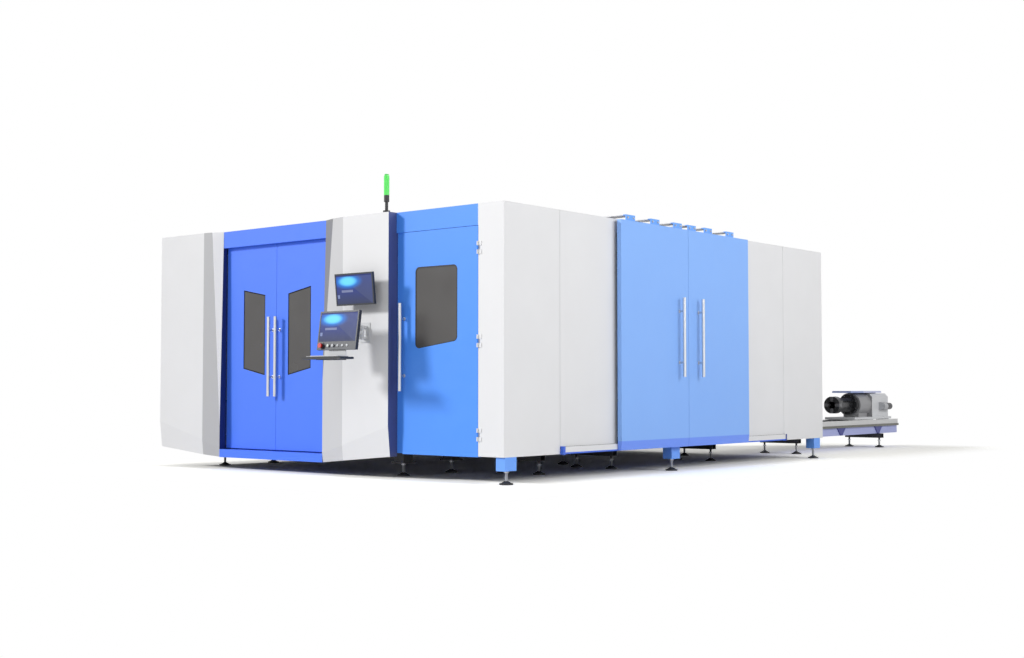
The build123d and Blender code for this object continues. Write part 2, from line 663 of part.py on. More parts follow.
def tube_door_hinges():
    """The fixed hinge halves on the corner cover, each with its pin."""
    third = HINGE_LENGTH / 3
    solids = []
    for z in HINGE_HEIGHTS:
        pin = rod("Z", (HINGE_X, HINGE_Y, z), HINGE_RADIUS / 2, HINGE_LENGTH)
        for offset in (-third, third):
            pin += rod("Z", (HINGE_X, HINGE_Y, z + offset), HINGE_RADIUS, third)
            pin += block(
                HINGE_X, HINGE_X + 40, HINGE_Y + HINGE_RADIUS - 4, 0,
                z + offset - third / 2, z + offset + third / 2)
        solids.append(pin)
    return solids


def tube_door_window():
    outline = tube_window_outline(WINDOW_REBATE - 0.5)
    return [rounded_prism_y(outline, TUBE_WINDOW_CORNER + WINDOW_REBATE - 0.5, SHEET, SHEET + GLASS)]


# Feet

def foot_blocks():
    """Bolt-on foot blocks under the base members of the right wall."""
    bottom = SKIRT_HEIGHT - FOOT_BLOCK_HEIGHT
    solids = []
    for x0, x1, y0, y1 in cabin_foot_blocks():
        solids.append(tray("+Z", x0, x1, y0, y1, bottom, SKIRT_HEIGHT, 8))
    return solids


def cabin_foot_blocks():
    right = (-105.0, -3.0)
    left = (WALL_LEFT, WALL_LEFT + 102)
    places = []
    for y in (20.0, 2565.0, CABIN_LENGTH - 215):
        places.append((*right, y, y + 150))
    for y in (1500.0, 3400.0, CABIN_LENGTH - 225):
        places.append((*left, y, y + 150))
    return places


def foot_points():
    """Every levelling foot: x, y and the height at which its stud ends."""
    points = []
    for x0, x1, y0, y1 in cabin_foot_blocks():
        points.append(((x0 + x1) / 2, (y0 + y1) / 2, SKIRT_HEIGHT - FOOT_BLOCK_HEIGHT))
    for x in (BED_CENTRE - GANTRY_TRACK / 2, BED_CENTRE + GANTRY_TRACK / 2):
        for y in BED_FEET:
            points.append((x, y, BED_LEG_BOTTOM))
    for x in (TUBE_X - TUBE_FOOT_SPREAD / 2, TUBE_X + TUBE_FOOT_SPREAD / 2):
        for y in TUBE_STATIONS:
            points.append((x, y, CROSS_BEAM_BOTTOM))
    return points


def levelling_feet():
    return [levelling_foot(x, y, top) for x, y, top in foot_points()]


# Signal tower

def signal_tower_stem():
    base = rod("Z", (TOWER_X, TOWER_Y, CABIN_TOP + 10), TOWER_RADIUS + 8, 20)
    stem = rod("Z", (TOWER_X, TOWER_Y, CABIN_TOP + 60), TOWER_RADIUS * 0.6, 80)
    collar = rod("Z", (TOWER_X, TOWER_Y, CABIN_TOP + 130), TOWER_RADIUS, 60)
    return [base + stem + collar]


def signal_tower_lamp():
    lens = rod("Z", (TOWER_X, TOWER_Y, CABIN_TOP + 160 + 90), TOWER_RADIUS, 180)
    cap = Pos(TOWER_X, TOWER_Y, CABIN_TOP + 340 + 6) * Cylinder(TOWER_RADIUS * 0.8, 12)
    return [lens + cap]


# Upper monitor

MONITOR_WIDTH = 490.0
MONITOR_HEIGHT = 292.0
MONITOR_THICK = 44.0
MONITOR_Z = 1717.0
MONITOR_PIVOT_Y = -160.0
MONITOR_FACE = 56.0
BEZEL = 14.0


def tilted(solid, x, y, z, tilt):
    """Moves a shape that was made about its pivot to its place and tilts it."""
    return Pos(x, y, z) * Rot(tilt, 0, 0) * solid


def screen_housing(width, height, thickness, face, low, screen_low):
    """A shallow housing with a chamfered back and a recess in front for the screen."""
    body = block(-width / 2, width / 2, -face, -face + thickness, low, low + height)
    back = body.faces().sort_by(Axis.Y)[-1]
    body = chamfer(back.edges(), thickness * 0.45)
    return body - block(
        -width / 2 + BEZEL, width / 2 - BEZEL, -face - 1, -face + 6, screen_low, low + height - BEZEL)


def monitor_bracket():
    """Wall plate with two ears that hold the tilt pin of the upper monitor."""
    plate = block(-75, 75, -PORTAL_DEPTH - MONITOR_PIVOT_Y - 8, -PORTAL_DEPTH - MONITOR_PIVOT_Y, -75, 75)
    ears = plate
    for x in (-40, 32):
        ears += block(x, x + 8, 0, -PORTAL_DEPTH - MONITOR_PIVOT_Y - 8, -20, 20)
        ears += rod("X", (x + 4, 0, 0), 20, 8)
    ears += rod("X", (0, 0, 0), 8, 80)
    return [Pos(MONITOR_X, MONITOR_PIVOT_Y, MONITOR_Z) * ears]


def monitor_housing():
    half = MONITOR_HEIGHT / 2
    body = screen_housing(MONITOR_WIDTH, MONITOR_HEIGHT, MONITOR_THICK, MONITOR_FACE + 16, -half, -half + BEZEL)
    back_y = -MONITOR_FACE - 16 + MONITOR_THICK
    lug = block(-31, 31, back_y, 0, -18, 18) + rod("X", (0, 0, 0), 18, 62)
    lug -= rod("X", (0, 0, 0), 8.06, 70)
    return [tilted(body + lug, MONITOR_X, MONITOR_PIVOT_Y, MONITOR_Z, MONITOR_TILT)]


def monitor_screen():
    half = MONITOR_HEIGHT / 2
    face = MONITOR_FACE + 16
    pane = block(
        -MONITOR_WIDTH / 2 + BEZEL + 0.5, MONITOR_WIDTH / 2 - BEZEL - 0.5, -face + 2, -face + 6,
        -half + BEZEL + 0.5, half - BEZEL - 0.5)
    return [tilted(pane, MONITOR_X, MONITOR_PIVOT_Y, MONITOR_Z, MONITOR_TILT)]


# Operator console on its arm

CONSOLE_WIDTH = 500.0
CONSOLE_HEIGHT = 350.0
CONSOLE_THICK = 56.0
CONSOLE_Z = 1320.0
CONSOLE_PIVOT_Y = -360.0
CONSOLE_FACE = 84.0
SWING_Y = -150.0
BUTTON_STRIP = 74.0
ARM_RADIUS = 24.0


def console_wall_bracket():
    """Wall plate with two eyes that carry the swing pin of the console arm."""
    plate = block(-60, 60, -PORTAL_DEPTH - 8, -PORTAL_DEPTH, -90, 90)
    for z in (-62, 42):
        plate += block(-22, 22, SWING_Y, -PORTAL_DEPTH - 8, z, z + 20) + rod("Z", (0, SWING_Y, z + 10), 22, 20)
    plate += rod("Z", (0, SWING_Y, 0), 10, 130)
    return [Pos(CONSOLE_X, 0, CONSOLE_Z) * plate]


def console_arm():
    """Swinging arm: an eye on the wall pin, a round tube and a fork for the console."""
    eye = rod("Z", (0, SWING_Y, 0), 22, 83)
    fork_back = CONSOLE_PIVOT_Y + 34
    tube = rod("Y", (0, (SWING_Y + fork_back) / 2, 0), ARM_RADIUS - 4, abs(fork_back - SWING_Y))
    yoke = block(-44, 44, fork_back - 10, fork_back, -22, 22)
    for x in (-44, 34):
        yoke += block(x, x + 10, CONSOLE_PIVOT_Y, fork_back, -20, 20) + rod("X", (x + 5, CONSOLE_PIVOT_Y, 0), 20, 10)
    yoke += rod("X", (0, CONSOLE_PIVOT_Y, 0), 8, 80)
    arm = eye + tube + yoke - rod("Z", (0, SWING_Y, 0), 10.06, 90)
    return [Pos(CONSOLE_X, 0, CONSOLE_Z) * arm]


BUTTON_Z = -CONSOLE_HEIGHT / 2 + BUTTON_STRIP / 2
STOP_BUTTON_X = -CONSOLE_WIDTH / 2 + 62
BUTTON_XS = (-CONSOLE_WIDTH / 2 + 150, -CONSOLE_WIDTH / 2 + 210)
STEM_RADIUS = 7.0
STEM_LENGTH = 26.0


def console_housing():
    half = CONSOLE_HEIGHT / 2
    body = screen_housing(CONSOLE_WIDTH, CONSOLE_HEIGHT, CONSOLE_THICK, CONSOLE_FACE, -half, -half + BUTTON_STRIP)
    back_y = -CONSOLE_FACE + CONSOLE_THICK
    lug = block(-33, 33, back_y, 0, -18, 18) + rod("X", (0, 0, 0), 18, 66)
    lug -= rod("X", (0, 0, 0), 8.06, 70)
    body += lug
    for x in (STOP_BUTTON_X, *BUTTON_XS):
        body -= rod("Y", (x, -CONSOLE_FACE + STEM_LENGTH / 2, BUTTON_Z), STEM_RADIUS + 0.3, STEM_LENGTH + 16)
    ring = rod("Y", (STOP_BUTTON_X, -CONSOLE_FACE - 3, BUTTON_Z), 32, 6)
    ring -= rod("Y", (STOP_BUTTON_X, -CONSOLE_FACE - 3, BUTTON_Z), STEM_RADIUS + 0.3, 8)
    return [tilted(solid, CONSOLE_X, CONSOLE_PIVOT_Y, CONSOLE_Z, CONSOLE_TILT) for solid in (body, ring)]


def console_screen():
    half = CONSOLE_HEIGHT / 2
    pane = block(
        -CONSOLE_WIDTH / 2 + BEZEL + 0.5, CONSOLE_WIDTH / 2 - BEZEL - 0.5, -CONSOLE_FACE + 2, -CONSOLE_FACE + 6,
        -half + BUTTON_STRIP + 0.5, half - BEZEL - 0.5)
    return [tilted(pane, CONSOLE_X, CONSOLE_PIVOT_Y, CONSOLE_Z, CONSOLE_TILT)]


def push_button(x, cap_radius, cap_length, proud):
    """A cap on a stem that slides in the console; proud is the gap behind the cap."""
    face = -CONSOLE_FACE - proud
    cap = rod("Y", (x, face - cap_length / 2, BUTTON_Z), cap_radius, cap_length)
    stem = rod("Y", (x, face + STEM_LENGTH / 2, BUTTON_Z), STEM_RADIUS, STEM_LENGTH)
    return tilted(cap + stem, CONSOLE_X, CONSOLE_PIVOT_Y, CONSOLE_Z, CONSOLE_TILT)


def emergency_stop():
    return [push_button(STOP_BUTTON_X, 22, 16, 14)]


SHELF_FRONT = -660.0
SHELF_DEPTH = 160.0
SHELF_TOP = 1090.0
SHELF_X = CONSOLE_X + 16.0
KEY_ROWS = 4
KEYS_PER_ROW = 12
KEY_PITCH = 28.0


def console_point(y, z):
    """Where a point of the tilted console, given about its pivot, lies at rest."""
    angle = math.radians(CONSOLE_TILT)
    return (
        CONSOLE_PIVOT_Y + y * math.cos(angle) - z * math.sin(angle),
        CONSOLE_Z + y * math.sin(angle) + z * math.cos(angle),
    )


def keyboard_tray():
    """A folded bracket under the console, the shelf, and the sealed keyboard with its keys."""
    half = CONSOLE_HEIGHT / 2
    back = console_point(-58, -half)
    front = console_point(-64, -half)
    low = SHELF_TOP - 20
    bracket = [
        back, front, (front[0], low), (SHELF_FRONT + 60, low), (SHELF_FRONT + 60, low - 5), (back[0], low - 5),
    ]
    shelf = block(SHELF_X - 250, SHELF_X + 250, SHELF_FRONT, SHELF_FRONT + SHELF_DEPTH, low, SHELF_TOP)
    shelf -= block(
        SHELF_X - 247, SHELF_X + 247, SHELF_FRONT + SHEET, SHELF_FRONT + SHELF_DEPTH - SHEET, SHELF_TOP - 6, SHELF_TOP + 1)
    floor = SHELF_TOP - 6
    keyboard = block(SHELF_X - 200, SHELF_X + 200, SHELF_FRONT + 12, SHELF_FRONT + 142, floor, floor + 14)
    first_x = SHELF_X - KEY_PITCH * (KEYS_PER_ROW - 1) / 2
    for row in range(KEY_ROWS):
        y = SHELF_FRONT + 34 + row * KEY_PITCH
        for column in range(KEYS_PER_ROW):
            x = first_x + column * KEY_PITCH
            keyboard += block(x - 11, x + 11, y - 11, y + 11, floor + 14, floor + 18)
    return [prism_x(bracket, CONSOLE_X - 110, CONSOLE_X + 110), shelf, keyboard]


# Machine bed, slat table and linear rails

BED_LEG_BOTTOM = 120.0
BED_FEET = (370.0, 1030.0, 2800.0, 5200.0)


def machine_bed():
    """Two deep side beams on legs, tied by cross beams, with tie plates to the tube bed."""
    solids = []
    low = SIDE_BEAM_BOTTOM
    for centre in (BED_CENTRE - GANTRY_TRACK / 2, BED_CENTRE + GANTRY_TRACK / 2):
        x0, x1 = centre - SIDE_BEAM_WIDTH / 2, centre + SIDE_BEAM_WIDTH / 2
        solids.append(square_tube("Y", x0, x1, BED_START, BED_END, low, RAIL_BASE, 12))
        for y in BED_FEET:
            plate_top = BED_LEG_BOTTOM + 15
            solids.append(block(x0 + 30, x1 - 30, y - 60, y + 60, plate_top, low))
            solids.append(block(x0 + 10, x1 - 10, y - 80, y + 80, BED_LEG_BOTTOM, plate_top))
    left = BED_CENTRE - GANTRY_TRACK / 2 + SIDE_BEAM_WIDTH / 2
    right = BED_CENTRE + GANTRY_TRACK / 2 - SIDE_BEAM_WIDTH / 2
    for y in (BED_START + 520, 2100.0, 3300.0, BED_END - 560):
        solids.append(square_tube("X", left, right, y, y + 120, low, low + 120, 8))
    tie_left = BED_CENTRE + GANTRY_TRACK / 2 + SIDE_BEAM_WIDTH / 2
    tie_right = TUBE_X - TUBE_BED_WIDTH / 2
    for y in (1400.0, 3000.0, 4600.0):
        solids.append(block(tie_left, tie_right, y, y + 120, low, TUBE_BED_TOP))
    return solids


def slat_table():
    """A welded frame with notched comb strips that hold the toothed support slats."""
    x0, x1 = BED_CENTRE - TABLE_WIDTH / 2, BED_CENTRE + TABLE_WIDTH / 2
    y0, y1 = TABLE_START, TABLE_START + TABLE_LENGTH
    low = SIDE_BEAM_BOTTOM + 120
    high = SLAT_TOP - SLAT_HEIGHT
    rail_width = 60.0
    frame = [
        square_tube("Y", x0, x0 + rail_width, y0, y1, low, high),
        square_tube("Y", x1 - rail_width, x1, y0, y1, low, high),
        square_tube("X", x0 + rail_width, x1 - rail_width, y0, y0 + rail_width, low, high),
        square_tube("X", x0 + rail_width, x1 - rail_width, y1 - rail_width, y1, low, high),
    ]
    stations = slat_stations()
    comb_height = 60.0
    notch = SLAT_THICKNESS / 2 + 0.5
    combs = []
    for x in (x0 + 10, x1 - 16):
        comb = block(x, x + 6, y0, y1, high, high + comb_height)
        for y in stations:
            comb -= block(x - 1, x + 7, y - notch, y + notch, high + 12, high + comb_height + 1)
        combs.append(comb)
    return frame + combs


def slat_stations():
    count = int((TABLE_LENGTH - 60) // SLAT_PITCH) + 1
    first = TABLE_START + (TABLE_LENGTH - (count - 1) * SLAT_PITCH) / 2
    return [first + index * SLAT_PITCH for index in range(count)]


def support_slats():
    """Toothed strips on edge that carry the sheet on their points."""
    half = TABLE_WIDTH / 2 - 4
    low = SLAT_TOP - SLAT_HEIGHT + 12
    valley = SLAT_TOP - TOOTH_DEPTH
    teeth = int(2 * half // TOOTH_PITCH)
    pitch = 2 * half / teeth
    outline = [(-half, low), (-half, valley)]
    for index in range(teeth):
        outline.append((-half + (index + 0.5) * pitch, SLAT_TOP))
        outline.append((-half + (index + 1) * pitch, valley))
    outline.append((half, low))
    slat = Pos(BED_CENTRE, 0, 0) * prism_y(outline, -SLAT_THICKNESS / 2, SLAT_THICKNESS / 2)
    return [Pos(0, y, 0) * slat for y in slat_stations()]


def linear_rail(x, y0, y1, base):
    """A profiled rail with a waist."""
    half = RAIL_WIDTH / 2
    waist = half - 6
    outline = [
        (x - half, base), (x + half, base), (x + half, base + 8), (x + waist, base + 14),
        (x + half, base + 20), (x + half, base + RAIL_HEIGHT), (x - half, base + RAIL_HEIGHT),
        (x - half, base + 20), (x - waist, base + 14), (x - half, base + 8),
    ]
    return prism_y(outline, y0, y1)


def linear_rails():
    rails = []
    for x in (BED_CENTRE - GANTRY_TRACK / 2, BED_CENTRE + GANTRY_TRACK / 2):
        rails.append(linear_rail(x, BED_START + 60, BED_END - 20, RAIL_BASE))
    for x in (TUBE_X - TUBE_RAIL_SPACING / 2, TUBE_X + TUBE_RAIL_SPACING / 2):
        rails.append(linear_rail(x, TUBE_BED_START + 60, TUBE_BED_END - 30, TUBE_RAIL_BASE))
    return rails


def rail_carriage(x, y0, y1, base, top):
    """A carriage that straddles a rail with a running gap."""
    gap = RAIL_CLEARANCE
    carriage = block(x - RAIL_WIDTH, x + RAIL_WIDTH, y0, y1, base + 6, top)
    half = RAIL_WIDTH / 2 + gap
    return carriage - block(x - half, x + half, y0 - 1, y1 + 1, base, base + RAIL_HEIGHT + gap)


# Gantry, carriage, height slide and cutting head

BEAM_BOTTOM = RAIL_BASE + RAIL_HEIGHT + TRUCK_HEIGHT
BEAM_TOP = BEAM_BOTTOM + BEAM_HEIGHT
HEAD_X = BED_CENTRE
HEAD_RADIUS = 46.0
HEAD_Y = BEAM_Y - 192
NOZZLE_Z = 740.0


def gantry_beam():
    """A hollow beam that overhangs the tube line, on two end trucks."""
    left = BED_CENTRE - GANTRY_TRACK / 2 - BEAM_OVERHANG_LEFT
    beam = square_tube("X", left, BEAM_RIGHT, BEAM_Y, BEAM_Y + BEAM_DEPTH, BEAM_BOTTOM, BEAM_TOP, 12)
    solids = [beam]
    for x in (BED_CENTRE - GANTRY_TRACK / 2, BED_CENTRE + GANTRY_TRACK / 2):
        top = RAIL_BASE + RAIL_HEIGHT + 22
        truck = prism_x(
            [(BEAM_Y - 120, top), (BEAM_Y + BEAM_DEPTH + 120, top), (BEAM_Y + BEAM_DEPTH + 120, top + 30),
             (BEAM_Y + BEAM_DEPTH, BEAM_BOTTOM), (BEAM_Y, BEAM_BOTTOM), (BEAM_Y - 120, top + 30)],
            x - 90, x + 90)
        solids.append(truck)
        for y in (BEAM_Y - 110, BEAM_Y + BEAM_DEPTH):
            solids.append(rail_carriage(x, y, y + 110, RAIL_BASE, top))
    for z in (BEAM_BOTTOM + 40, BEAM_TOP - 40 - RAIL_WIDTH):
        solids.append(block(left + 40, BEAM_RIGHT - 20, BEAM_Y - 22, BEAM_Y, z, z + RAIL_WIDTH))
    return solids


def cutting_carriage():
    """The plate that runs along the beam, with bearing blocks and the guide of the height slide."""
    front = BEAM_Y - 60
    plate = block(HEAD_X - 150, HEAD_X + 150, front, front + 24, BEAM_BOTTOM - 20, BEAM_TOP + 100)
    solids = [plate]
    for z in (BEAM_BOTTOM + 40, BEAM_TOP - 40 - RAIL_WIDTH):
        for x in (HEAD_X - 130, HEAD_X + 30):
            shoe = block(x, x + 100, front + 24, BEAM_Y - 4, z - 16, z + RAIL_WIDTH + 16)
            shoe -= block(x - 1, x + 101, BEAM_Y - 22 - RAIL_CLEARANCE, BEAM_Y, z - RAIL_CLEARANCE, z + RAIL_WIDTH + RAIL_CLEARANCE)
            solids.append(shoe)
    for x in (HEAD_X - 60, HEAD_X + 36):
        solids.append(block(x, x + 24, front - 16, front, BEAM_BOTTOM - 10, BEAM_TOP + 90))
    return solids


def height_slide():
    """The upright plate that carries the cutting head, with its motor on top."""
    guide_front = BEAM_Y - 76
    plate_back = guide_front - 8
    low = NOZZLE_Z + 250
    plate = block(HEAD_X - 90, HEAD_X + 90, plate_back - 18, plate_back, low - 120, BEAM_TOP + 80)
    solids = [plate]
    for x in (HEAD_X - 60, HEAD_X + 36):
        for z in (BEAM_BOTTOM + 125, BEAM_TOP - 10):
            shoe = block(x - 14, x + 38, plate_back, BEAM_Y - 60 - 4, z, z + 70)
            shoe -= block(
                x - RAIL_CLEARANCE, x + 24 + RAIL_CLEARANCE, guide_front - RAIL_CLEARANCE, BEAM_Y, z - 1, z + 71)
            solids.append(shoe)
    clamp = block(HEAD_X - 62, HEAD_X + 62, HEAD_Y - 18, plate_back - 18, low, low + 120)
    solids.append(clamp - rod("Z", (HEAD_X, HEAD_Y, low + 60), HEAD_RADIUS, 130))
    return solids




def cutting_head():
    """A turned head: nozzle, cone, focus body and the fibre connector on top."""
    profile = [
        (0, 0), (9, 0), (14, 22), (14, 34), (26, 44), (HEAD_RADIUS - 2, 96), (HEAD_RADIUS, 110), (HEAD_RADIUS, 400),
        (38, 408), (38, 450), (20, 456), (20, 530), (0, 530),
    ]
    outline = make_face(Plane.XZ * Polyline(*profile, close=True))
    head = Pos(HEAD_X, HEAD_Y, NOZZLE_Z) * revolve(outline, Axis.Z)
    head -= rod("Z", (HEAD_X, HEAD_Y, NOZZLE_Z), 2, 60)
    return [head]


# Tube bed

TUBE_BEAM_TOP = TUBE_BED_TOP - TUBE_TOP_PLATE
TUBE_BEAM_BOTTOM = TUBE_BEAM_TOP - TUBE_BEAM_HEIGHT
CROSS_BEAM_BOTTOM = TUBE_BEAM_BOTTOM - CROSS_BEAM_HEIGHT
TUBE_RAIL_BASE = TUBE_BED_TOP + 26.0
TUBE_FOOT_SPREAD = 440.0
GUSSET = 120.0


def tube_bed():
    """A closed box beam with a wider machined top plate, rail strips and gussets at each leg."""
    half_beam = TUBE_BEAM_WIDTH / 2
    half_plate = TUBE_BED_WIDTH / 2
    beam = square_tube(
        "Y", TUBE_X - half_beam, TUBE_X + half_beam, TUBE_BED_START, TUBE_BED_END, TUBE_BEAM_BOTTOM, TUBE_BEAM_TOP, 10)
    bed = beam + block(
        TUBE_X - half_plate, TUBE_X + half_plate, TUBE_BED_START, TUBE_BED_END, TUBE_BEAM_TOP, TUBE_BED_TOP)
    for side in (-1, 1):
        centre = TUBE_X + side * TUBE_RAIL_SPACING / 2
        bed += block(centre - 35, centre + 35, TUBE_BED_START, TUBE_BED_END, TUBE_BED_TOP, TUBE_RAIL_BASE)
        edge = TUBE_X + side * half_beam
        plate = (edge, edge + side * 12)
        for y in TUBE_STATIONS:
            outline = [(y - GUSSET, TUBE_BEAM_TOP), (y + GUSSET, TUBE_BEAM_TOP), (y + 25, TUBE_BEAM_BOTTOM), (y - 25, TUBE_BEAM_BOTTOM)]
            bed += prism_x(outline, min(plate), max(plate))
    return [bed]


def tube_bed_legs():
    """Cross beams under the tube bed that take the levelling feet."""
    half = TUBE_FOOT_SPREAD / 2 + 45
    legs = []
    for y in TUBE_STATIONS:
        legs.append(square_tube("X", TUBE_X - half, TUBE_X + half, y - 40, y + 40, CROSS_BEAM_BOTTOM, TUBE_BEAM_BOTTOM, 6))
    return legs


# Chuck carriage at the tail of the tube bed

SADDLE_BOTTOM = TUBE_RAIL_BASE + RAIL_HEIGHT + 12.0
SADDLE_TOP = SADDLE_BOTTOM + 30.0
SADDLE_START = 8040.0
HOUSING_HALF = 168.0
HOUSING_TOP = 735.0
COVER_TOP = 770.0


def chuck_carriage():
    """Saddle on four rail carriages with the split bearing drum and the drive housing."""
    solids = [block(TUBE_X - 215, TUBE_X + 215, SADDLE_START, HOUSING_END, SADDLE_BOTTOM, SADDLE_TOP)]
    drum_start = FLANGE_START + FLANGE_LENGTH + 1
    bore_start = drum_start - 5
    bore_end = SLEEVE_END + 2
    bore = rod(
        "Y", (TUBE_X, (bore_start + bore_end) / 2, TUBE_AXIS),
        SLEEVE_RADIUS + JOURNAL_CLEARANCE, bore_end - bore_start)
    drum = rod("Y", (TUBE_X, (drum_start + DRUM_END) / 2, TUBE_AXIS), DRUM_RADIUS, DRUM_END - drum_start)
    drum = drum - bore
    room = 2 * DRUM_RADIUS
    cap = drum & block(TUBE_X - room, TUBE_X + room, drum_start, DRUM_END, TUBE_AXIS, TUBE_AXIS + room)
    seat = drum & block(TUBE_X - room, TUBE_X + room, drum_start, DRUM_END, TUBE_AXIS - room, TUBE_AXIS)
    pedestal_top = TUBE_AXIS - SLEEVE_RADIUS - 20
    seat += block(TUBE_X - 110, TUBE_X + 110, drum_start + 40, DRUM_END - 40, SADDLE_TOP, pedestal_top)
    solids.append(cap)
    solids.append(seat)
    housing_points = [
        (TUBE_X - HOUSING_HALF, SADDLE_TOP), (TUBE_X + HOUSING_HALF, SADDLE_TOP),
        (TUBE_X + HOUSING_HALF, HOUSING_TOP - 45), (TUBE_X + HOUSING_HALF - 45, HOUSING_TOP),
        (TUBE_X - HOUSING_HALF + 45, HOUSING_TOP), (TUBE_X - HOUSING_HALF, HOUSING_TOP - 45),
    ]
    solids.append(prism_y(housing_points, DRUM_END, HOUSING_END) - bore)
    for x in (TUBE_X - TUBE_RAIL_SPACING / 2, TUBE_X + TUBE_RAIL_SPACING / 2):
        for y in (SADDLE_START + 20, HOUSING_END - 160):
            solids.append(rail_carriage(x, y, y + 140, TUBE_RAIL_BASE, SADDLE_BOTTOM))
    return solids


def chuck_motor():
    """Servo motor and reducer on the flank of the drive housing."""
    x = TUBE_X + HOUSING_HALF
    gearbox = block(x, x + 40, HOUSING_END - 300, HOUSING_END - 190, 505, 615)
    motor = rod("Y", (x + 48, HOUSING_END - 180, 560), 46, 240)
    return [gearbox + motor]


def chuck_cover():
    """Flat top cover that bridges the drum and the housing."""
    plate = block(TUBE_X - 140, TUBE_X + 140, 8107, HOUSING_END - 150, COVER_TOP - 25, COVER_TOP)
    plate = chamfer(plate.edges().filter_by(Axis.Y).group_by(Axis.Z)[-1], 10)
    post = block(TUBE_X - 60, TUBE_X + 60, DRUM_END + 60, HOUSING_END - 160, HOUSING_TOP, COVER_TOP - 25)
    return [plate + post]


def jaw_places():
    return [0, 90, 180, 270]


def chuck_body():
    """The rotating part: slotted nose, four ribs, bearing flange and the hollow spindle."""
    nose_end = CHUCK_FRONT + NOSE_LENGTH
    flange_end = FLANGE_START + FLANGE_LENGTH
    bore = rod("Y", (0, (CHUCK_FRONT + SLEEVE_END) / 2, 0), SLEEVE_BORE, SLEEVE_END - CHUCK_FRONT + 10)
    nose = rod("Y", (0, (CHUCK_FRONT + nose_end) / 2, 0), NOSE_RADIUS, NOSE_LENGTH)
    barrel = rod("Y", (0, (nose_end + FLANGE_START) / 2, 0), SLEEVE_RADIUS, FLANGE_START - nose_end)
    for angle in jaw_places():
        rib = block(-24, 24, nose_end, FLANGE_START, SLEEVE_RADIUS - 8, NOSE_RADIUS - 6)
        barrel += Rot(0, angle + 45, 0) * rib
        slot = jaw_outline(JAW_CLEARANCE, SLOT_INNER, NOSE_RADIUS + 5, -1)
        nose -= Rot(0, angle, 0) * slot
    flange = rod("Y", (0, FLANGE_START + FLANGE_LENGTH / 2, 0), FLANGE_RADIUS, FLANGE_LENGTH)
    sleeve = rod("Y", (0, (flange_end + SLEEVE_END) / 2, 0), SLEEVE_RADIUS, SLEEVE_END - flange_end)
    return [Pos(TUBE_X, 0, TUBE_AXIS) * (part - bore) for part in (nose, barrel, flange, sleeve)]


JAW_FRONT = CHUCK_FRONT
JAW_LENGTH = 84.0
JAW_STEP_START = CHUCK_FRONT + 48
JAW_STEP_END = CHUCK_FRONT + 70
JAW_TRAVEL = 30.0
SLOT_INNER = JAW_INNER - JAW_TRAVEL - 10


def jaw_outline(clearance, inner, outer, front_shift):
    """A jaw, or its slot when a clearance is given: a T section that slides along the radius."""
    half = JAW_WIDTH / 2 + clearance
    foot = JAW_FOOT_WIDTH / 2 + clearance
    end = JAW_FRONT + JAW_LENGTH + clearance
    body = block(-half, half, JAW_FRONT + front_shift, end, inner, outer)
    return body + block(-foot, foot, JAW_STEP_START - clearance, JAW_STEP_END + clearance, inner + 8, outer)


def chuck_jaw(angle):
    """One jaw with its gripping edge chamfered towards the tube."""
    jaw = jaw_outline(0.0, JAW_INNER, NOSE_RADIUS - 2, 0.5)
    tip = [(-JAW_WIDTH / 2, JAW_INNER), (-10, JAW_INNER - 16), (10, JAW_INNER - 16), (JAW_WIDTH / 2, JAW_INNER)]
    tip_solid = prism_y(tip, JAW_FRONT + 0.5, JAW_FRONT + JAW_LENGTH - 20)
    return [Pos(TUBE_X, 0, TUBE_AXIS) * (Rot(0, angle, 0) * (jaw + tip_solid))]


CHAIN_WIDTH = 100.0
CHAIN_THICK = 34.0
CHAIN_LOW = TUBE_BED_TOP + 2
CHAIN_TOP_Z = 580.0
CHAIN_START = 6700.0


def energy_chain():
    """The chain that feeds the chuck: it lies between the rails and turns up into the housing."""
    low = CHAIN_LOW + CHAIN_THICK / 2
    radius = (CHAIN_TOP_Z - low) / 2
    turn_y = HOUSING_END + 20
    outer = radius + CHAIN_THICK / 2
    inner = radius - CHAIN_THICK / 2
    middle = (CHAIN_TOP_Z + low) / 2
    plane = Plane(origin=(TUBE_X - CHAIN_WIDTH / 2, turn_y, middle), x_dir=(0, 1, 0), z_dir=(1, 0, 0))
    ring = plane * (Circle(outer) - Circle(inner))
    half_ring = extrude(ring, amount=CHAIN_WIDTH) & block(
        TUBE_X - 500, TUBE_X + 500, turn_y, turn_y + 500, 0, 1000)
    lower = block(
        TUBE_X - CHAIN_WIDTH / 2, TUBE_X + CHAIN_WIDTH / 2, CHAIN_START, turn_y, low - CHAIN_THICK / 2, low + CHAIN_THICK / 2)
    upper = block(
        TUBE_X - CHAIN_WIDTH / 2, TUBE_X + CHAIN_WIDTH / 2, HOUSING_END, turn_y,
        CHAIN_TOP_Z - CHAIN_THICK / 2, CHAIN_TOP_Z + CHAIN_THICK / 2)
    return [lower + half_ring + upper]


# Front chuck inside the cabin

FRONT_CHUCK_Y = 1560.0
FRONT_CHUCK_LENGTH = 220.0
FRONT_CHUCK_HALF = 165.0
FRONT_RING_RADIUS = 120.0
FRONT_BORE = 85.0


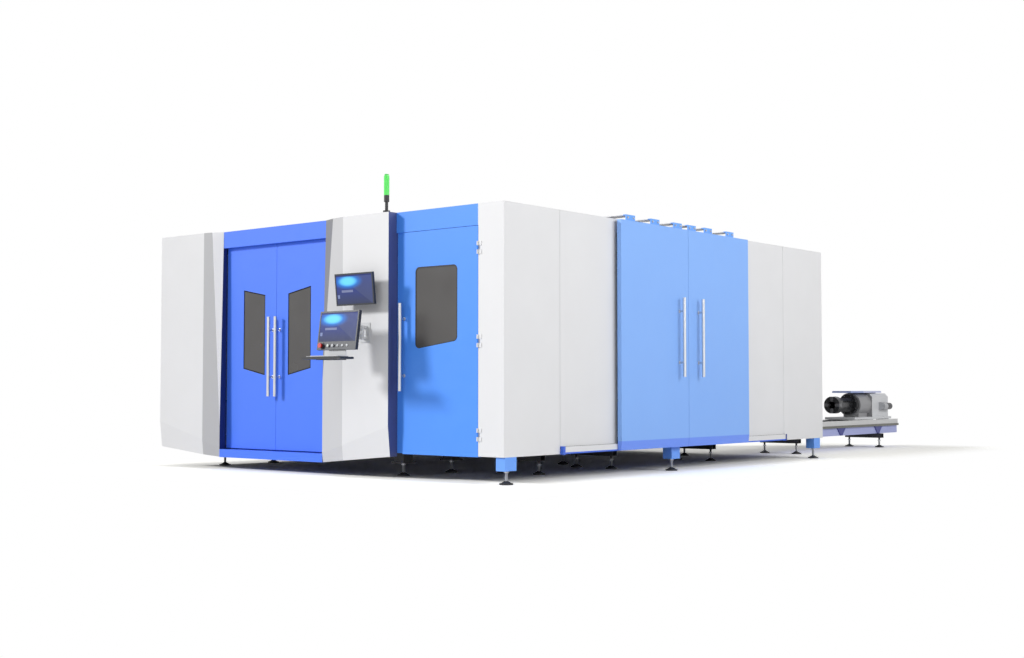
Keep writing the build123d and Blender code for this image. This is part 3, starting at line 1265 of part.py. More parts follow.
def front_chuck_housing():
    """A square bearing housing on a foot, bolted to the tube bed."""
    y0, y1 = FRONT_CHUCK_Y, FRONT_CHUCK_Y + FRONT_CHUCK_LENGTH
    foot = block(TUBE_X - 215, TUBE_X + 215, y0 - 30, y1 + 30, SADDLE_BOTTOM, SADDLE_TOP)
    body = block(TUBE_X - FRONT_CHUCK_HALF, TUBE_X + FRONT_CHUCK_HALF, y0, y1, SADDLE_TOP, TUBE_AXIS + FRONT_CHUCK_HALF - 15)
    body = chamfer(body.edges().filter_by(Axis.Y).group_by(Axis.Z)[-1], 40)
    whole = foot + body
    whole -= rod("Y", (TUBE_X, (y0 + y1) / 2, TUBE_AXIS), FRONT_RING_RADIUS + JOURNAL_CLEARANCE, FRONT_CHUCK_LENGTH + 80)
    solids = [whole]
    for x in (TUBE_X - TUBE_RAIL_SPACING / 2, TUBE_X + TUBE_RAIL_SPACING / 2):
        seat = block(x - 30, x + 30, y0, y1, TUBE_RAIL_BASE, SADDLE_BOTTOM)
        half = RAIL_WIDTH / 2 + RAIL_CLEARANCE
        seat -= block(x - half, x + half, y0 - 1, y1 + 1, TUBE_RAIL_BASE, TUBE_RAIL_BASE + RAIL_HEIGHT)
        solids.append(seat)
    return solids


def front_chuck_ring():
    """The turning ring of the front chuck, with a cross slot for its two jaws."""
    y0 = FRONT_CHUCK_Y - 60
    y1 = FRONT_CHUCK_Y + FRONT_CHUCK_LENGTH
    ring = rod("Y", (0, (y0 + y1) / 2, 0), FRONT_RING_RADIUS, y1 - y0)
    ring += rod("Y", (0, y0 + 27, 0), FRONT_RING_RADIUS + 20, 54)
    ring -= rod("Y", (0, (y0 + y1) / 2, 0), FRONT_BORE, y1 - y0 + 10)
    slot_half = 45 + JAW_CLEARANCE
    ring -= block(-slot_half, slot_half, y0 - 1, y0 + 36 + JAW_CLEARANCE, -300, 300)
    return [Pos(TUBE_X, 0, TUBE_AXIS) * ring]


def front_chuck_jaw(side):
    """A flat jaw with a V mouth, sliding across the face of the ring."""
    y0 = FRONT_CHUCK_Y - 60
    outer = FRONT_RING_RADIUS + 16
    points = [(-45, 62), (-45, outer), (45, outer), (45, 62), (0, 90)]
    if side < 0:
        points = [(x, -z) for x, z in points]
    jaw = prism_y(points, y0 + 1, y0 + 36)
    return [Pos(TUBE_X, 0, TUBE_AXIS) * jaw]


def build_machine():
    nodes["enclosure_frame"] = enclosure_frame()
    nodes["roof_panels"] = roof_panels()
    nodes["left_and_back_wall_panels"] = left_wall_panels() + back_wall_panels()
    nodes["side_wall_panels"] = side_wall_panels()
    nodes["corner_cover"] = corner_cover()
    nodes["left_pillar_cover"] = left_pillar_cover()
    nodes["right_pillar_cover"] = right_pillar_cover()
    nodes["portal_frame"] = portal_frame() + door_track()
    nodes["tube_doorway_frame"] = tube_doorway_frame() + tube_door_hinges()
    nodes["side_door_rails"] = side_door_rails()
    nodes["foot_blocks"] = foot_blocks()
    nodes["levelling_feet_and_legs"] = levelling_feet() + tube_bed_legs()
    nodes["signal_tower_stem"] = signal_tower_stem()
    nodes["signal_tower_lamp"] = signal_tower_lamp()
    nodes["screen_brackets"] = monitor_bracket() + console_wall_bracket()
    nodes["machine_bed"] = machine_bed()
    nodes["slat_table"] = slat_table() + support_slats()
    nodes["linear_rails"] = linear_rails()
    nodes["tube_bed"] = tube_bed()
    nodes["front_chuck_housing"] = front_chuck_housing()
    for name, side in (("left", -1), ("right", 1)):
        nodes[f"front_{name}_door"] = front_door(side)
        nodes[f"front_{name}_window"] = front_window(side)
        nodes[f"front_{name}_handle"] = front_handle(side)
    nodes["tube_door"] = tube_door()
    nodes["tube_door_window"] = tube_door_window()
    nodes["tube_door_handle"] = [pull_handle((-1163, 0), 790, 1575, (927, 1435), (0, -1))]
    nodes["side_front_door"] = side_door_leaf(SIDE_DOOR_START, SIDE_DOOR_SEAM - DOOR_SEAM)
    nodes["side_rear_door"] = side_door_leaf(SIDE_DOOR_SEAM, SIDE_DOOR_END)
    for name, y in (("front", SIDE_DOOR_SEAM - 170), ("rear", SIDE_DOOR_SEAM + 180)):
        nodes[f"side_{name}_handle"] = [pull_handle((SIDE_DOOR_FACE, y), 925, 1705, (1067, 1571), (1, 0))]
    nodes["side_front_hangers"] = side_door_hangers((1775, 2190, 2590), SIDE_DOOR_START, SIDE_DOOR_SEAM)
    nodes["side_rear_hangers"] = side_door_hangers((2850, 3160, 3590), SIDE_DOOR_SEAM, SIDE_DOOR_END)
    nodes["monitor_housing"] = monitor_housing()
    nodes["monitor_screen"] = monitor_screen()
    nodes["console_arm"] = console_arm()
    nodes["console_housing"] = console_housing()
    nodes["console_screen"] = console_screen()
    nodes["keyboard_tray"] = keyboard_tray()
    nodes["emergency_stop"] = emergency_stop()
    nodes["start_button"] = [push_button(BUTTON_XS[0], 13, 8, 5)]
    nodes["stop_button"] = [push_button(BUTTON_XS[1], 13, 8, 5)]
    nodes["gantry_beam"] = gantry_beam()
    nodes["cutting_carriage"] = cutting_carriage()
    nodes["height_slide"] = height_slide()
    nodes["cutting_head"] = cutting_head()
    nodes["chuck_carriage"] = chuck_carriage()
    nodes["chuck_motor"] = chuck_motor()
    nodes["chuck_cover"] = chuck_cover()
    nodes["chuck_body"] = chuck_body()
    for index, angle in enumerate(jaw_places()):
        nodes[f"chuck_jaw_{index + 1}"] = chuck_jaw(angle)
    nodes["energy_chain"] = energy_chain()
    nodes["front_chuck_ring"] = front_chuck_ring()
    nodes["front_jaw_upper"] = front_chuck_jaw(1)
    nodes["front_jaw_lower"] = front_chuck_jaw(-1)


def single_solids(shapes):
    """Every separate solid of a node, in a flat list."""
    solids = []
    for shape in shapes:
        solids += shape.solids()
    return solids


build_machine()
machine_box = Compound(children=[Compound(children=single_solids(shapes)) for shapes in nodes.values()]).bounding_box()
ORIGIN_X = (machine_box.min.X + machine_box.max.X) / 2
ORIGIN_Y = (machine_box.min.Y + machine_box.max.Y) / 2
to_origin = Pos(-ORIGIN_X, -ORIGIN_Y, -machine_box.min.Z)
for node_name, shapes in nodes.items():
    placed = [to_origin * solid for solid in single_solids(shapes)]
    export_step(Compound(children=placed), f"parts/{node_name}.step")
print("nodes", len(nodes), "origin", ORIGIN_X, ORIGIN_Y, machine_box.min.Z)
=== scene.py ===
import math

import bpy
from bpy.props import FloatProperty, FloatVectorProperty, IntProperty, PointerProperty
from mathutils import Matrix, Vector


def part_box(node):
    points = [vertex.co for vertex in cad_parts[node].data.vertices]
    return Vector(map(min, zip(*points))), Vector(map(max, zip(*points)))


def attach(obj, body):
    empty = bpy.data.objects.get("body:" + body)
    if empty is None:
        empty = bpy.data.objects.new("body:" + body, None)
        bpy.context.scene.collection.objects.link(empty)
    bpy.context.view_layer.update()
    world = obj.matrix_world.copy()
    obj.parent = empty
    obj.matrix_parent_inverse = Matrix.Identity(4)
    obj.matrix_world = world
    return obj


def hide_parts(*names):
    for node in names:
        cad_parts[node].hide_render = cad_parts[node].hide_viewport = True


bl_info = {
    "name": "Enclosed Sheet and Tube Laser Cutter",
    "version": (1, 0, 0),
    "blender": (4, 5, 0),
    "location": "View3D > Sidebar > Laser Cutter",
    "description": "Finishes, seals, fasteners and lights for an enclosed laser cutting machine",
    "category": "Object",
}

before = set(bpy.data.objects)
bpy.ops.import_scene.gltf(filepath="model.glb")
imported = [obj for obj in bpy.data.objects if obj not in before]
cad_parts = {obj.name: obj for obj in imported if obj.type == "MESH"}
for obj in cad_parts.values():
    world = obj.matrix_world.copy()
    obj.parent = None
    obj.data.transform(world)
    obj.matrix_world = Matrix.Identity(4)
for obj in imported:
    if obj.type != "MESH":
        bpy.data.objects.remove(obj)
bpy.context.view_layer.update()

# Front right corner of the cabin, in metres from the frame's origin under the middle of the machine
CORNER_X = 2.243
CORNER_Y = -4.370


def place(x, y, z):
    """A point given in millimetres from the front right corner of the cabin."""
    return Vector((x / 1000 + CORNER_X, y / 1000 + CORNER_Y, z / 1000))


# Where one colour ends and the next begins, in millimetres from that corner; some of these colours are
# painted light and shade, noted where they are used
LEFT_CREASE_X = -3926
LEFT_FACET_EDGE = (-3820, 2400, -3705, 410)
LEFT_REVEAL_X = -3706
RIGHT_CREASE_X = -1862
RIGHT_FACET_EDGE = (-2023, 2400, -2180, 880)
RIGHT_REVEAL_X = -1268.5
FIXED_HINGE_X = -290
GUIDE_RAIL_LIP_Z = 250
GUIDE_RAIL_START_Y = 802.5
GUIDE_RAIL_END_Y = 4820.5
SIDE_DOOR_BAND_Z = 325
HANGER_CAP_X = 30
KEYBOARD_Z = 1094
MACHINE_LEG_Z = 301
TUBE_PLATE_Z = 289.5
TUBE_PLATE_EDGE_X = -661
TUBE_GUSSET_X = (-689, -1091)
DRUM_END_Y = 8680.5
SADDLE_Z = 420
COVER_FOLD_Y = 8480
MOTOR_FLANGE_Y = 9000.5
STUD_Z = 34
CROSS_BEAM_Z = 103
CROSS_BEAM_X = (-1200, -600)

# Portal windows and bars, in millimetres
PORTAL_CENTRE = -2942.5
PORTAL_SEAL_Y = 34.5
WINDOW_OUTER = 498
WINDOW_INNER = 174
WINDOW_TOP = {"outer": 1795, "inner": 1736}
WINDOW_FOOT = {"outer": 1010, "inner": 944}

# Tube door window, in millimetres, and its corner radius in metres
TUBE_SEAL_Y = 1.4
TUBE_WINDOW_X = (-1028, -529)
TUBE_WINDOW_TOP = 1890
TUBE_WINDOW_FOOT = (1165.5, 1231)
TUBE_WINDOW_CORNER = 0.043

# Pull bars on the front: place along X, face of the door and heights of the two posts, in millimetres
FRONT_BARS = {
    "front_left": (-2992.5, 30, (925, 1385)),
    "front_right": (-2892.5, 30, (925, 1385)),
    "tube": (-1163, 0, (927, 1435)),
}
COLLAR_STANDOFF = 2.6
COLLAR_RADIUS = 0.015
COLLAR_THICKNESS = 0.005
COLLAR_BORE = 0.0094

# Side doors: bars and hangers, in millimetres
SIDE_COLLAR_X = 82.6
SIDE_BAR_Y = {"front": 2590, "rear": 2940}
SIDE_POST_HEIGHTS = (1067, 1571)
HANGER_CENTRES = {"front": (1775, 2190, 2590), "rear": (2850, 3160, 3590)}
HANGER_BOLT_Z = 2418
HANGER_BOLT_OFFSET = 45

# Console: its tilt and the pilot lamps on its face, in degrees and millimetres
CONSOLE_LEAN = -8
CONSOLE_PIVOT = (-1556, -360, 1320)
PILOT_ACROSS = (20, 80, 140)
PILOT_OUTWARD = -87
PILOT_LEVEL = -138

# Height in metres where the signal lamp's green lens ends and its cap begins
LENS_CAP_HEIGHT = 2.7432

# Tube line, in millimetres, with the sizes of the added plates and links in metres
TUBE_X = -890
CHUCK_AXIS_Z = 585
FLANGE_FACE_Y = 8280
FLANGE_BOLT_CIRCLE = 122
RAIL_GUARD_OFFSET = 226
RAIL_GUARD_CENTRE = (5275, 351.5)
RAIL_GUARD_SIZE = (0.002, 8.20, 0.062)
GUSSET_OFFSET = 206
GUSSET_Y = 7660
GUSSET_LOW = 190
GUSSET_HIGH = 290
GUSSET_TOP_WIDTH = 0.240
GUSSET_FOOT_WIDTH = 0.050
GUSSET_THICKNESS = 0.012
CHAIN_START_Y = 6735
CHAIN_TURN_Y = 9210
CHAIN_LOW = 339
CHAIN_HIGH = 580
CHAIN_WIDTH = 0.098
CHAIN_HEIGHT = 0.032
CHAIN_BENDS = 6

# Studs of the levelling feet, in millimetres: places along X, along Y, and the lock nut's height
STUD_ROWS = (
    ((-54,), (95, 2640, 5640), 108),
    ((-4549,), (1575, 3475, 5630), 108),
    ((-4150, -1530), (370, 1030, 2800, 5200), 110),
    ((-1110, -670), (1310, 2480, 4390, 6400, 8780), 94),
)

# Floor: its level for bounced light and as the camera sees it, half the machine's size along each axis
# and how far past it the shadow reaches, both in metres
FLOOR_FOR_LIGHT = (0.72, 0.72, 0.72, 1)
FLOOR_FOR_VIEW = (1.60, 1.59, 1.53, 1)
MACHINE_HALVES = {"X": 2.35, "Y": 4.9}
SHADOW_REACH = 0.9

# View camera: place in millimetres from the same corner, tilt and turn in degrees
CAMERA_PLACE = (7278, -8655, 831)
CAMERA_TILT = 92.444
CAMERA_TURN = 39.716

# Coats that are the same on several pieces
RAIL_BLUE = (0.05, 0.15, 0.75)
NAVY = (0.020, 0.030, 0.250)
DARK_NAVY = (0.02, 0.04, 0.22)
LEG_BLACK = (0.028, 0.028, 0.032)


# Sizes and colours that a user would change

class FinishSettings(bpy.types.PropertyGroup):
    """Colours of the machine's painted and moulded surfaces"""

    panel_colour: FloatVectorProperty(
        name="Panel white", description="Powder coat of the cabin panels",
        subtype="COLOR", size=3, min=0.0, max=1.0, default=(0.80, 0.80, 0.81))
    facet_colour: FloatVectorProperty(
        name="Facet grey", description="Light grey coat of the outer portal facets",
        subtype="COLOR", size=3, min=0.0, max=1.0, default=(0.53, 0.53, 0.54))
    door_colour: FloatVectorProperty(
        name="Front door blue", description="Coat of the portal and its doors",
        subtype="COLOR", size=3, min=0.0, max=1.0, default=(0.060, 0.208, 1.0))
    tube_door_colour: FloatVectorProperty(
        name="Tube door blue", description="Coat of the tube door and its doorway",
        subtype="COLOR", size=3, min=0.0, max=1.0, default=(0.070, 0.300, 1.0))
    side_door_colour: FloatVectorProperty(
        name="Side door blue", description="Coat of the tall sliding doors",
        subtype="COLOR", size=3, min=0.0, max=1.0, default=(0.250, 0.480, 1.0))
    bed_colour: FloatVectorProperty(
        name="Bed paint", description="Coat of the tube bed and the machine bed",
        subtype="COLOR", size=3, min=0.0, max=1.0, default=(0.42, 0.46, 0.80))
    coat_roughness: FloatProperty(
        name="Coat roughness", description="Roughness of the powder coat",
        subtype="FACTOR", min=0.0, max=1.0, default=0.42)


class DetailSettings(bpy.types.PropertyGroup):
    """Sizes of the seals, fasteners and chain links"""

    seal_width: FloatProperty(
        name="Window seal", description="Width of the rubber seal round each window",
        unit="LENGTH", min=0.004, max=0.03, default=0.009)
    bolt_radius: FloatProperty(
        name="Bolt head radius", description="Radius of the hexagon bolt heads",
        unit="LENGTH", min=0.003, max=0.02, default=0.009)
    chain_links: IntProperty(
        name="Chain links", description="Number of links in the lower run of the energy chain",
        min=8, max=80, default=36)
    lamp_rings: IntProperty(
        name="Lamp ribs", description="Number of ribs on the lamp lens",
        min=3, max=40, default=14)
    flange_bolts: IntProperty(
        name="Flange bolts", description="Number of bolts in the chuck's flange",
        min=4, max=24, default=8)


class StageSettings(bpy.types.PropertyGroup):
    """Floor, lamps and camera"""

    floor_size: FloatProperty(
        name="Floor size", description="Side of the square floor",
        unit="LENGTH", min=20.0, max=400.0, default=240.0)
    key_strength: FloatProperty(
        name="Front lamp", description="Power of the large lamp in front of the machine",
        unit="POWER", min=0.0, max=20000.0, default=130.0)
    side_strength: FloatProperty(
        name="Side lamp", description="Power of the large lamp on the side of the sliding doors",
        unit="POWER", min=0.0, max=20000.0, default=900.0)
    sun_strength: FloatProperty(
        name="High lamp", description="Strength of the far lamp from the upper left",
        min=0.0, max=20.0, default=2.15)
    world_strength: FloatProperty(
        name="Sky level", description="Even light from all round",
        min=0.0, max=3.0, default=0.30)
    focal_length: FloatProperty(
        name="Focal length", description="Lens of the view camera, in millimetres on a 36 mm sensor",
        min=20.0, max=120.0, default=47.36)


# Shader helpers

def new_material(name):
    """An empty node material with its surface shader and output."""
    material = bpy.data.materials.new(name)
    material.use_nodes = True
    nodes = material.node_tree.nodes
    nodes.clear()
    output = nodes.new("ShaderNodeOutputMaterial")
    shader = nodes.new("ShaderNodeBsdfPrincipled")
    material.node_tree.links.new(shader.outputs["BSDF"], output.inputs["Surface"])
    return material, shader


def node(material, kind, **values):
    """A shader node with its properties set."""
    item = material.node_tree.nodes.new(kind)
    for key, value in values.items():
        setattr(item, key, value)
    return item


def link(material, start, end):
    material.node_tree.links.new(start, end)


def object_point(material, scale=(1, 1, 1)):
    """Object coordinates, stretched by a scale."""
    coordinates = node(material, "ShaderNodeTexCoord")
    mapping = node(material, "ShaderNodeMapping")
    mapping.inputs["Scale"].default_value = scale
    link(material, coordinates.outputs["Object"], mapping.inputs["Vector"])
    return mapping.outputs["Vector"]


def noise(material, point, scale, detail=2.0):
    texture = node(material, "ShaderNodeTexNoise")
    texture.inputs["Scale"].default_value = scale
    texture.inputs["Detail"].default_value = detail
    link(material, point, texture.inputs["Vector"])
    return texture.outputs["Fac"]


def ranged(material, value, start, end, low=0.0, high=1.0, kind="LINEAR"):
    """A value from start to end mapped to low to high."""
    ranger = node(material, "ShaderNodeMapRange", interpolation_type=kind)
    for name, number in zip(("From Min", "From Max", "To Min", "To Max"), (start, end, low, high)):
        ranger.inputs[name].default_value = number
    link(material, value, ranger.inputs["Value"])
    return ranger.outputs["Result"]


def shade(colour, factor):
    return (*[min(1.0, c * factor) for c in colour[:3]], 1.0)


def two_colours(material, factor, first, second):
    """Mixes two plain colours by a factor."""
    mix = node(material, "ShaderNodeMix", data_type="RGBA")
    mix.inputs[6].default_value = first
    mix.inputs[7].default_value = second
    link(material, factor, mix.inputs[0])
    return mix.outputs[2]


def mixed(material, factor, first, second):
    """Mixes two colour outputs by a factor."""
    mix = node(material, "ShaderNodeMix", data_type="RGBA")
    link(material, factor, mix.inputs[0])
    link(material, first, mix.inputs[6])
    link(material, second, mix.inputs[7])
    return mix.outputs[2]


def mottled(material, shader, texture, colour, darkest, lightest):
    """Base colour that varies with a texture between two shades of one colour."""
    tint = two_colours(material, texture, shade(colour, darkest), shade(colour, lightest))
    link(material, tint, shader.inputs["Base Color"])


def polished(material, shader, texture, low, high):
    """Roughness that varies with a texture between two values."""
    link(material, ranged(material, texture, 0.3, 0.7, low, high), shader.inputs["Roughness"])


def bumpy(material, shader, height, strength, distance):
    bump = node(material, "ShaderNodeBump")
    bump.inputs["Strength"].default_value = strength
    bump.inputs["Distance"].default_value = distance
    link(material, height, bump.inputs["Height"])
    link(material, bump.outputs["Normal"], shader.inputs["Normal"])


def plain_colour(material, colour):
    """One plain colour as an output."""
    item = node(material, "ShaderNodeRGB")
    item.outputs[0].default_value = shade(colour, 1.0)
    return item.outputs[0]


def maths(material, operation, *values):
    """One step of arithmetic on outputs and plain numbers."""
    step = node(material, "ShaderNodeMath", operation=operation)
    for value, socket in zip(values, step.inputs):
        if isinstance(value, (int, float)):
            socket.default_value = value
        else:
            link(material, value, socket)
    return step.outputs[0]


def beyond_plane(material, normal, limit):
    """1 where a point's distance along a direction is over a limit, else 0."""
    coordinates = node(material, "ShaderNodeTexCoord")
    product = node(material, "ShaderNodeVectorMath", operation="DOT_PRODUCT")
    product.inputs[1].default_value = normal
    link(material, coordinates.outputs["Object"], product.inputs[0])
    return maths(material, "GREATER_THAN", product.outputs["Value"], limit)


def times(material, *values):
    """The product of several masks."""
    result = values[0]
    for value in values[1:]:
        result = maths(material, "MULTIPLY", result, value)
    return result


def within(material, value, low, high):
    """1 where a value lies between two limits, else 0."""
    over = maths(material, "GREATER_THAN", value, low)
    under = maths(material, "LESS_THAN", value, high)
    return times(material, over, under)


def powder_coat(name, colour, roughness=None):
    """Powder coat: a faint mottle and a fine orange peel."""
    settings = bpy.context.scene.cutter_finish
    material, shader = new_material(name)
    point = object_point(material)
    mottled(material, shader, noise(material, point, 2.2, 3.0), colour, 0.97, 1.03)
    base = settings.coat_roughness if roughness is None else roughness
    polished(material, shader, noise(material, point, 9.0), base - 0.04, base + 0.05)
    bumpy(material, shader, noise(material, point, 900.0, 1.0), 0.04, 0.0006)
    return material


def brushed_metal(name, colour, along="Z", roughness=0.34):
    """Metal with fine lines along one axis."""
    material, shader = new_material(name)
    stretch = {"X": (4, 260, 260), "Y": (260, 4, 260), "Z": (260, 260, 4)}[along]
    lines = noise(material, object_point(material, stretch), 1.0, 3.0)
    mottled(material, shader, lines, colour, 0.93, 1.05)
    shader.inputs["Metallic"].default_value = 1.0
    polished(material, shader, lines, roughness - 0.06, roughness + 0.08)
    bumpy(material, shader, lines, 0.08, 0.0004)
    return material


def moulded_plastic(name, colour, roughness=0.5):
    """Moulded plastic with a fine spark-eroded grain."""
    material, shader = new_material(name)
    point = object_point(material)
    mottled(material, shader, noise(material, point, 14.0), colour, 0.95, 1.05)
    polished(material, shader, noise(material, point, 60.0), roughness - 0.05, roughness + 0.06)
    bumpy(material, shader, noise(material, point, 1400.0, 1.0), 0.12, 0.0004)
    return material


def cast_metal(name, colour, roughness=0.5):
    """Painted casting with a soft uneven skin."""
    material, shader = new_material(name)
    point = object_point(material)
    mottled(material, shader, noise(material, point, 11.0, 4.0), colour, 0.9, 1.1)
    shader.inputs["Metallic"].default_value = 0.35
    polished(material, shader, noise(material, point, 40.0), roughness - 0.08, roughness + 0.1)
    bumpy(material, shader, noise(material, point, 240.0, 4.0), 0.25, 0.0008)
    return material


def safety_glass(name):
    """Dark laser safety glass, slightly uneven, with a faint gloss."""
    material, shader = new_material(name)
    point = object_point(material)
    cloud = noise(material, point, 1.6)
    tint = two_colours(material, cloud, (0.064, 0.060, 0.058, 1), (0.084, 0.080, 0.077, 1))
    link(material, tint, shader.inputs["Base Color"])
    polished(material, shader, noise(material, point, 5.0), 0.22, 0.28)
    bumpy(material, shader, noise(material, point, 3.0, 1.0), 0.03, 0.001)
    shader.inputs["IOR"].default_value = 1.5
    return material


def masked_coat(name, base_colour, masks, roughness=None):
    """Powder coat with areas in other colours, some of them painted light and shade; masks gives the
    planes that bound each one.
    """
    material = powder_coat(name, base_colour, roughness)
    shader = [n for n in material.node_tree.nodes if n.type == "BSDF_PRINCIPLED"][0]
    colour = shader.inputs["Base Color"].links[0].from_socket
    for planes, area_colour in masks:
        mask = times(material, *[beyond_plane(material, normal, limit) for normal, limit in planes])
        colour = mixed(material, mask, colour, plain_colour(material, area_colour))
    link(material, colour, shader.inputs["Base Color"])
    return material


def past(axis, distance, way=1):
    """The plane across an axis at a distance in millimetres, that faces along it for way 1."""
    normal = Vector([way if letter == axis else 0 for letter in "XYZ"])
    return tuple(normal), normal.dot(place(distance, distance, distance))


def beside_edge(edge, side):
    """The plane through a slanted edge of the front that faces +X for side 1 and -X for side -1."""
    x0, z0, x1, z1 = edge
    a, b = place(x0, 0, z0), place(x1, 0, z1)
    along = (b - a).normalized()
    normal = Vector((along.z, 0, -along.x)) * (1 if along.z > 0 else -1) * side
    return tuple(normal), normal.dot(a)


def screen_display(name, low, high):
    """A lit screen: dark blue with a bright oval, a painted reflection over a slanted corner and a few
    plain bars.
    """
    material, shader = new_material(name)
    point = object_point(material)
    split = node(material, "ShaderNodeSeparateXYZ")
    link(material, point, split.inputs[0])
    across = ranged(material, split.outputs["X"], low.x, high.x)
    up = ranged(material, split.outputs["Z"], low.z, high.z)
    colour = two_colours(material, up, (0.034, 0.042, 0.090, 1), (0.020, 0.042, 0.260, 1))

    # Painted reflection over the corner past a slanted line
    slant = maths(material, "MULTIPLY_ADD", up, 0.9, across)
    painted_reflection = maths(material, "MULTIPLY", maths(material, "GREATER_THAN", slant, 0.98), 0.7)
    colour = mixed(material, painted_reflection, colour, plain_colour(material, (0.052, 0.066, 0.150)))

    # Glow round a point, wider across than up, as a blue halo and a pale middle
    sideways = maths(material, "DIVIDE", maths(material, "SUBTRACT", across, 0.33), 0.36)
    upward = maths(material, "DIVIDE", maths(material, "SUBTRACT", up, 0.78), 0.24)
    distance = maths(
        material, "ADD", times(material, sideways, sideways), times(material, upward, upward))
    for reach, tone in ((1.7, (0.020, 0.160, 0.560)), (0.75, (0.130, 0.560, 0.860))):
        falloff = ranged(material, distance, reach, 0.0, kind="SMOOTHERSTEP")
        colour = mixed(material, falloff, colour, plain_colour(material, tone))

    # Message line, header bar and side tab: span across, span up and colour
    areas = [
        ((0.14, 0.46), (0.40, 0.48), (0.15, 0.17, 0.30)),
        ((0.0, 1.0), (0.95, 1.0), (0.02, 0.03, 0.13)),
        ((0.02, 0.08), (0.20, 0.32), (0.16, 0.20, 0.36)),
    ]
    for (left, right), (foot, top), tone in areas:
        mask = times(material, within(material, across, left, right), within(material, up, foot, top))
        colour = mixed(material, mask, colour, plain_colour(material, tone))
    link(material, colour, shader.inputs["Base Color"])
    link(material, colour, shader.inputs["Emission Color"])
    shader.inputs["Emission Strength"].default_value = 0.45
    shader.inputs["Specular IOR Level"].default_value = 0.3
    polished(material, shader, noise(material, point, 30.0), 0.16, 0.2)
    return material


def lamp_lens(name):
    """The signal lamp's green lens with its darker cap."""
    material, shader = new_material(name)
    cap = beyond_plane(material, (0, 0, 1), LENS_CAP_HEIGHT)
    tint = two_colours(material, cap, (0.10, 0.66, 0.12, 1), (0.05, 0.34, 0.08, 1))
    link(material, tint, shader.inputs["Base Color"])
    polished(material, shader, noise(material, object_point(material), 50.0), 0.12, 0.2)
    shader.inputs["Emission Color"].default_value = (0.10, 0.80, 0.10, 1)
    shader.inputs["Emission Strength"].default_value = 0.27
    return material


def seen_directly(material):
    """1 for what the camera or a glossy surface sees, 0 for light that bounces."""
    seen = node(material, "ShaderNodeLightPath")
    return maths(material, "MAXIMUM", seen.outputs["Is Camera Ray"], seen.outputs["Is Glossy Ray"])


def floor_material():
    """A white floor that keeps the machine's shadow near it and turns to plain white further away."""
    material = bpy.data.materials.new("floor_white")
    material.use_nodes = True
    material.node_tree.nodes.clear()
    output = node(material, "ShaderNodeOutputMaterial")
    direct = seen_directly(material)
    matt = node(material, "ShaderNodeBsdfDiffuse")
    level = two_colours(material, direct, FLOOR_FOR_LIGHT, FLOOR_FOR_VIEW)
    link(material, level, matt.inputs["Color"])
    white = node(material, "ShaderNodeEmission")
    white.inputs["Color"].default_value = (1, 1, 1, 1)
    split = node(material, "ShaderNodeSeparateXYZ")
    link(material, node(material, "ShaderNodeTexCoord").outputs["Object"], split.inputs[0])
    beyond = []
    for axis, half in MACHINE_HALVES.items():
        distance = maths(material, "ABSOLUTE", split.outputs[axis])
        beyond.append(maths(material, "SUBTRACT", distance, half))
    furthest = maths(material, "MAXIMUM", *beyond)
    fade = ranged(material, furthest, 0.0, SHADOW_REACH, kind="SMOOTHSTEP")
    share = times(material, fade, direct)
    mix = node(material, "ShaderNodeMixShader")
    link(material, share, mix.inputs[0])
    link(material, matt.outputs["BSDF"], mix.inputs[1])
    link(material, white.outputs["Emission"], mix.inputs[2])
    link(material, mix.outputs["Shader"], output.inputs["Surface"])
    return material


# Modelling helpers, all with Blender's own operators

def deselect_all():
    if bpy.context.object is not None and bpy.context.object.mode != "OBJECT":
        bpy.ops.object.mode_set(mode="OBJECT")
    bpy.ops.object.select_all(action="DESELECT")


def apply_transform():
    """Puts the selected objects' place, turn and scale in their meshes."""
    bpy.ops.object.transform_apply(location=True, rotation=True, scale=True)


def outward_normals():
    """Turns every face of the mesh in edit mode outward and leaves edit mode."""
    bpy.ops.mesh.select_all(action="SELECT")
    bpy.ops.mesh.normals_make_consistent(inside=False)
    bpy.ops.object.mode_set(mode="OBJECT")


def settle(name, material, smooth=False):
    """Names the active object, puts its place in its mesh and gives it its finish."""
    piece = bpy.context.object
    piece.name = name
    piece.data.name = name
    apply_transform()
    if smooth:
        bpy.ops.object.shade_smooth_by_angle(angle=math.radians(35))
    piece.data.materials.clear()
    piece.data.materials.append(material)
    return piece


def bevel_modifier(width, segments=2):
    """Rounds the active object's sharp edges."""
    piece = bpy.context.object
    bevel = piece.modifiers.new("Round", "BEVEL")
    bevel.width = width
    bevel.segments = segments
    bevel.limit_method = "ANGLE"
    bpy.ops.object.modifier_apply(modifier=bevel.name)


def plain_block(centre, size):
    """A block about a point in metres, as the start of a piece, with its place in its mesh."""
    deselect_all()
    bpy.ops.mesh.primitive_cube_add(size=1.0, location=centre)
    bpy.context.object.scale = size
    apply_transform()
    return bpy.context.object


def edit_faces(test):
    """Enters edit mode on the active object with only the faces selected that pass a test."""
    piece = bpy.context.object
    bpy.ops.object.mode_set(mode="EDIT")
    bpy.ops.mesh.select_all(action="DESELECT")
    bpy.ops.object.mode_set(mode="OBJECT")
    for face in piece.data.polygons:
        face.select = test(face)
    bpy.ops.object.mode_set(mode="EDIT")
    bpy.ops.mesh.select_mode(type="FACE")


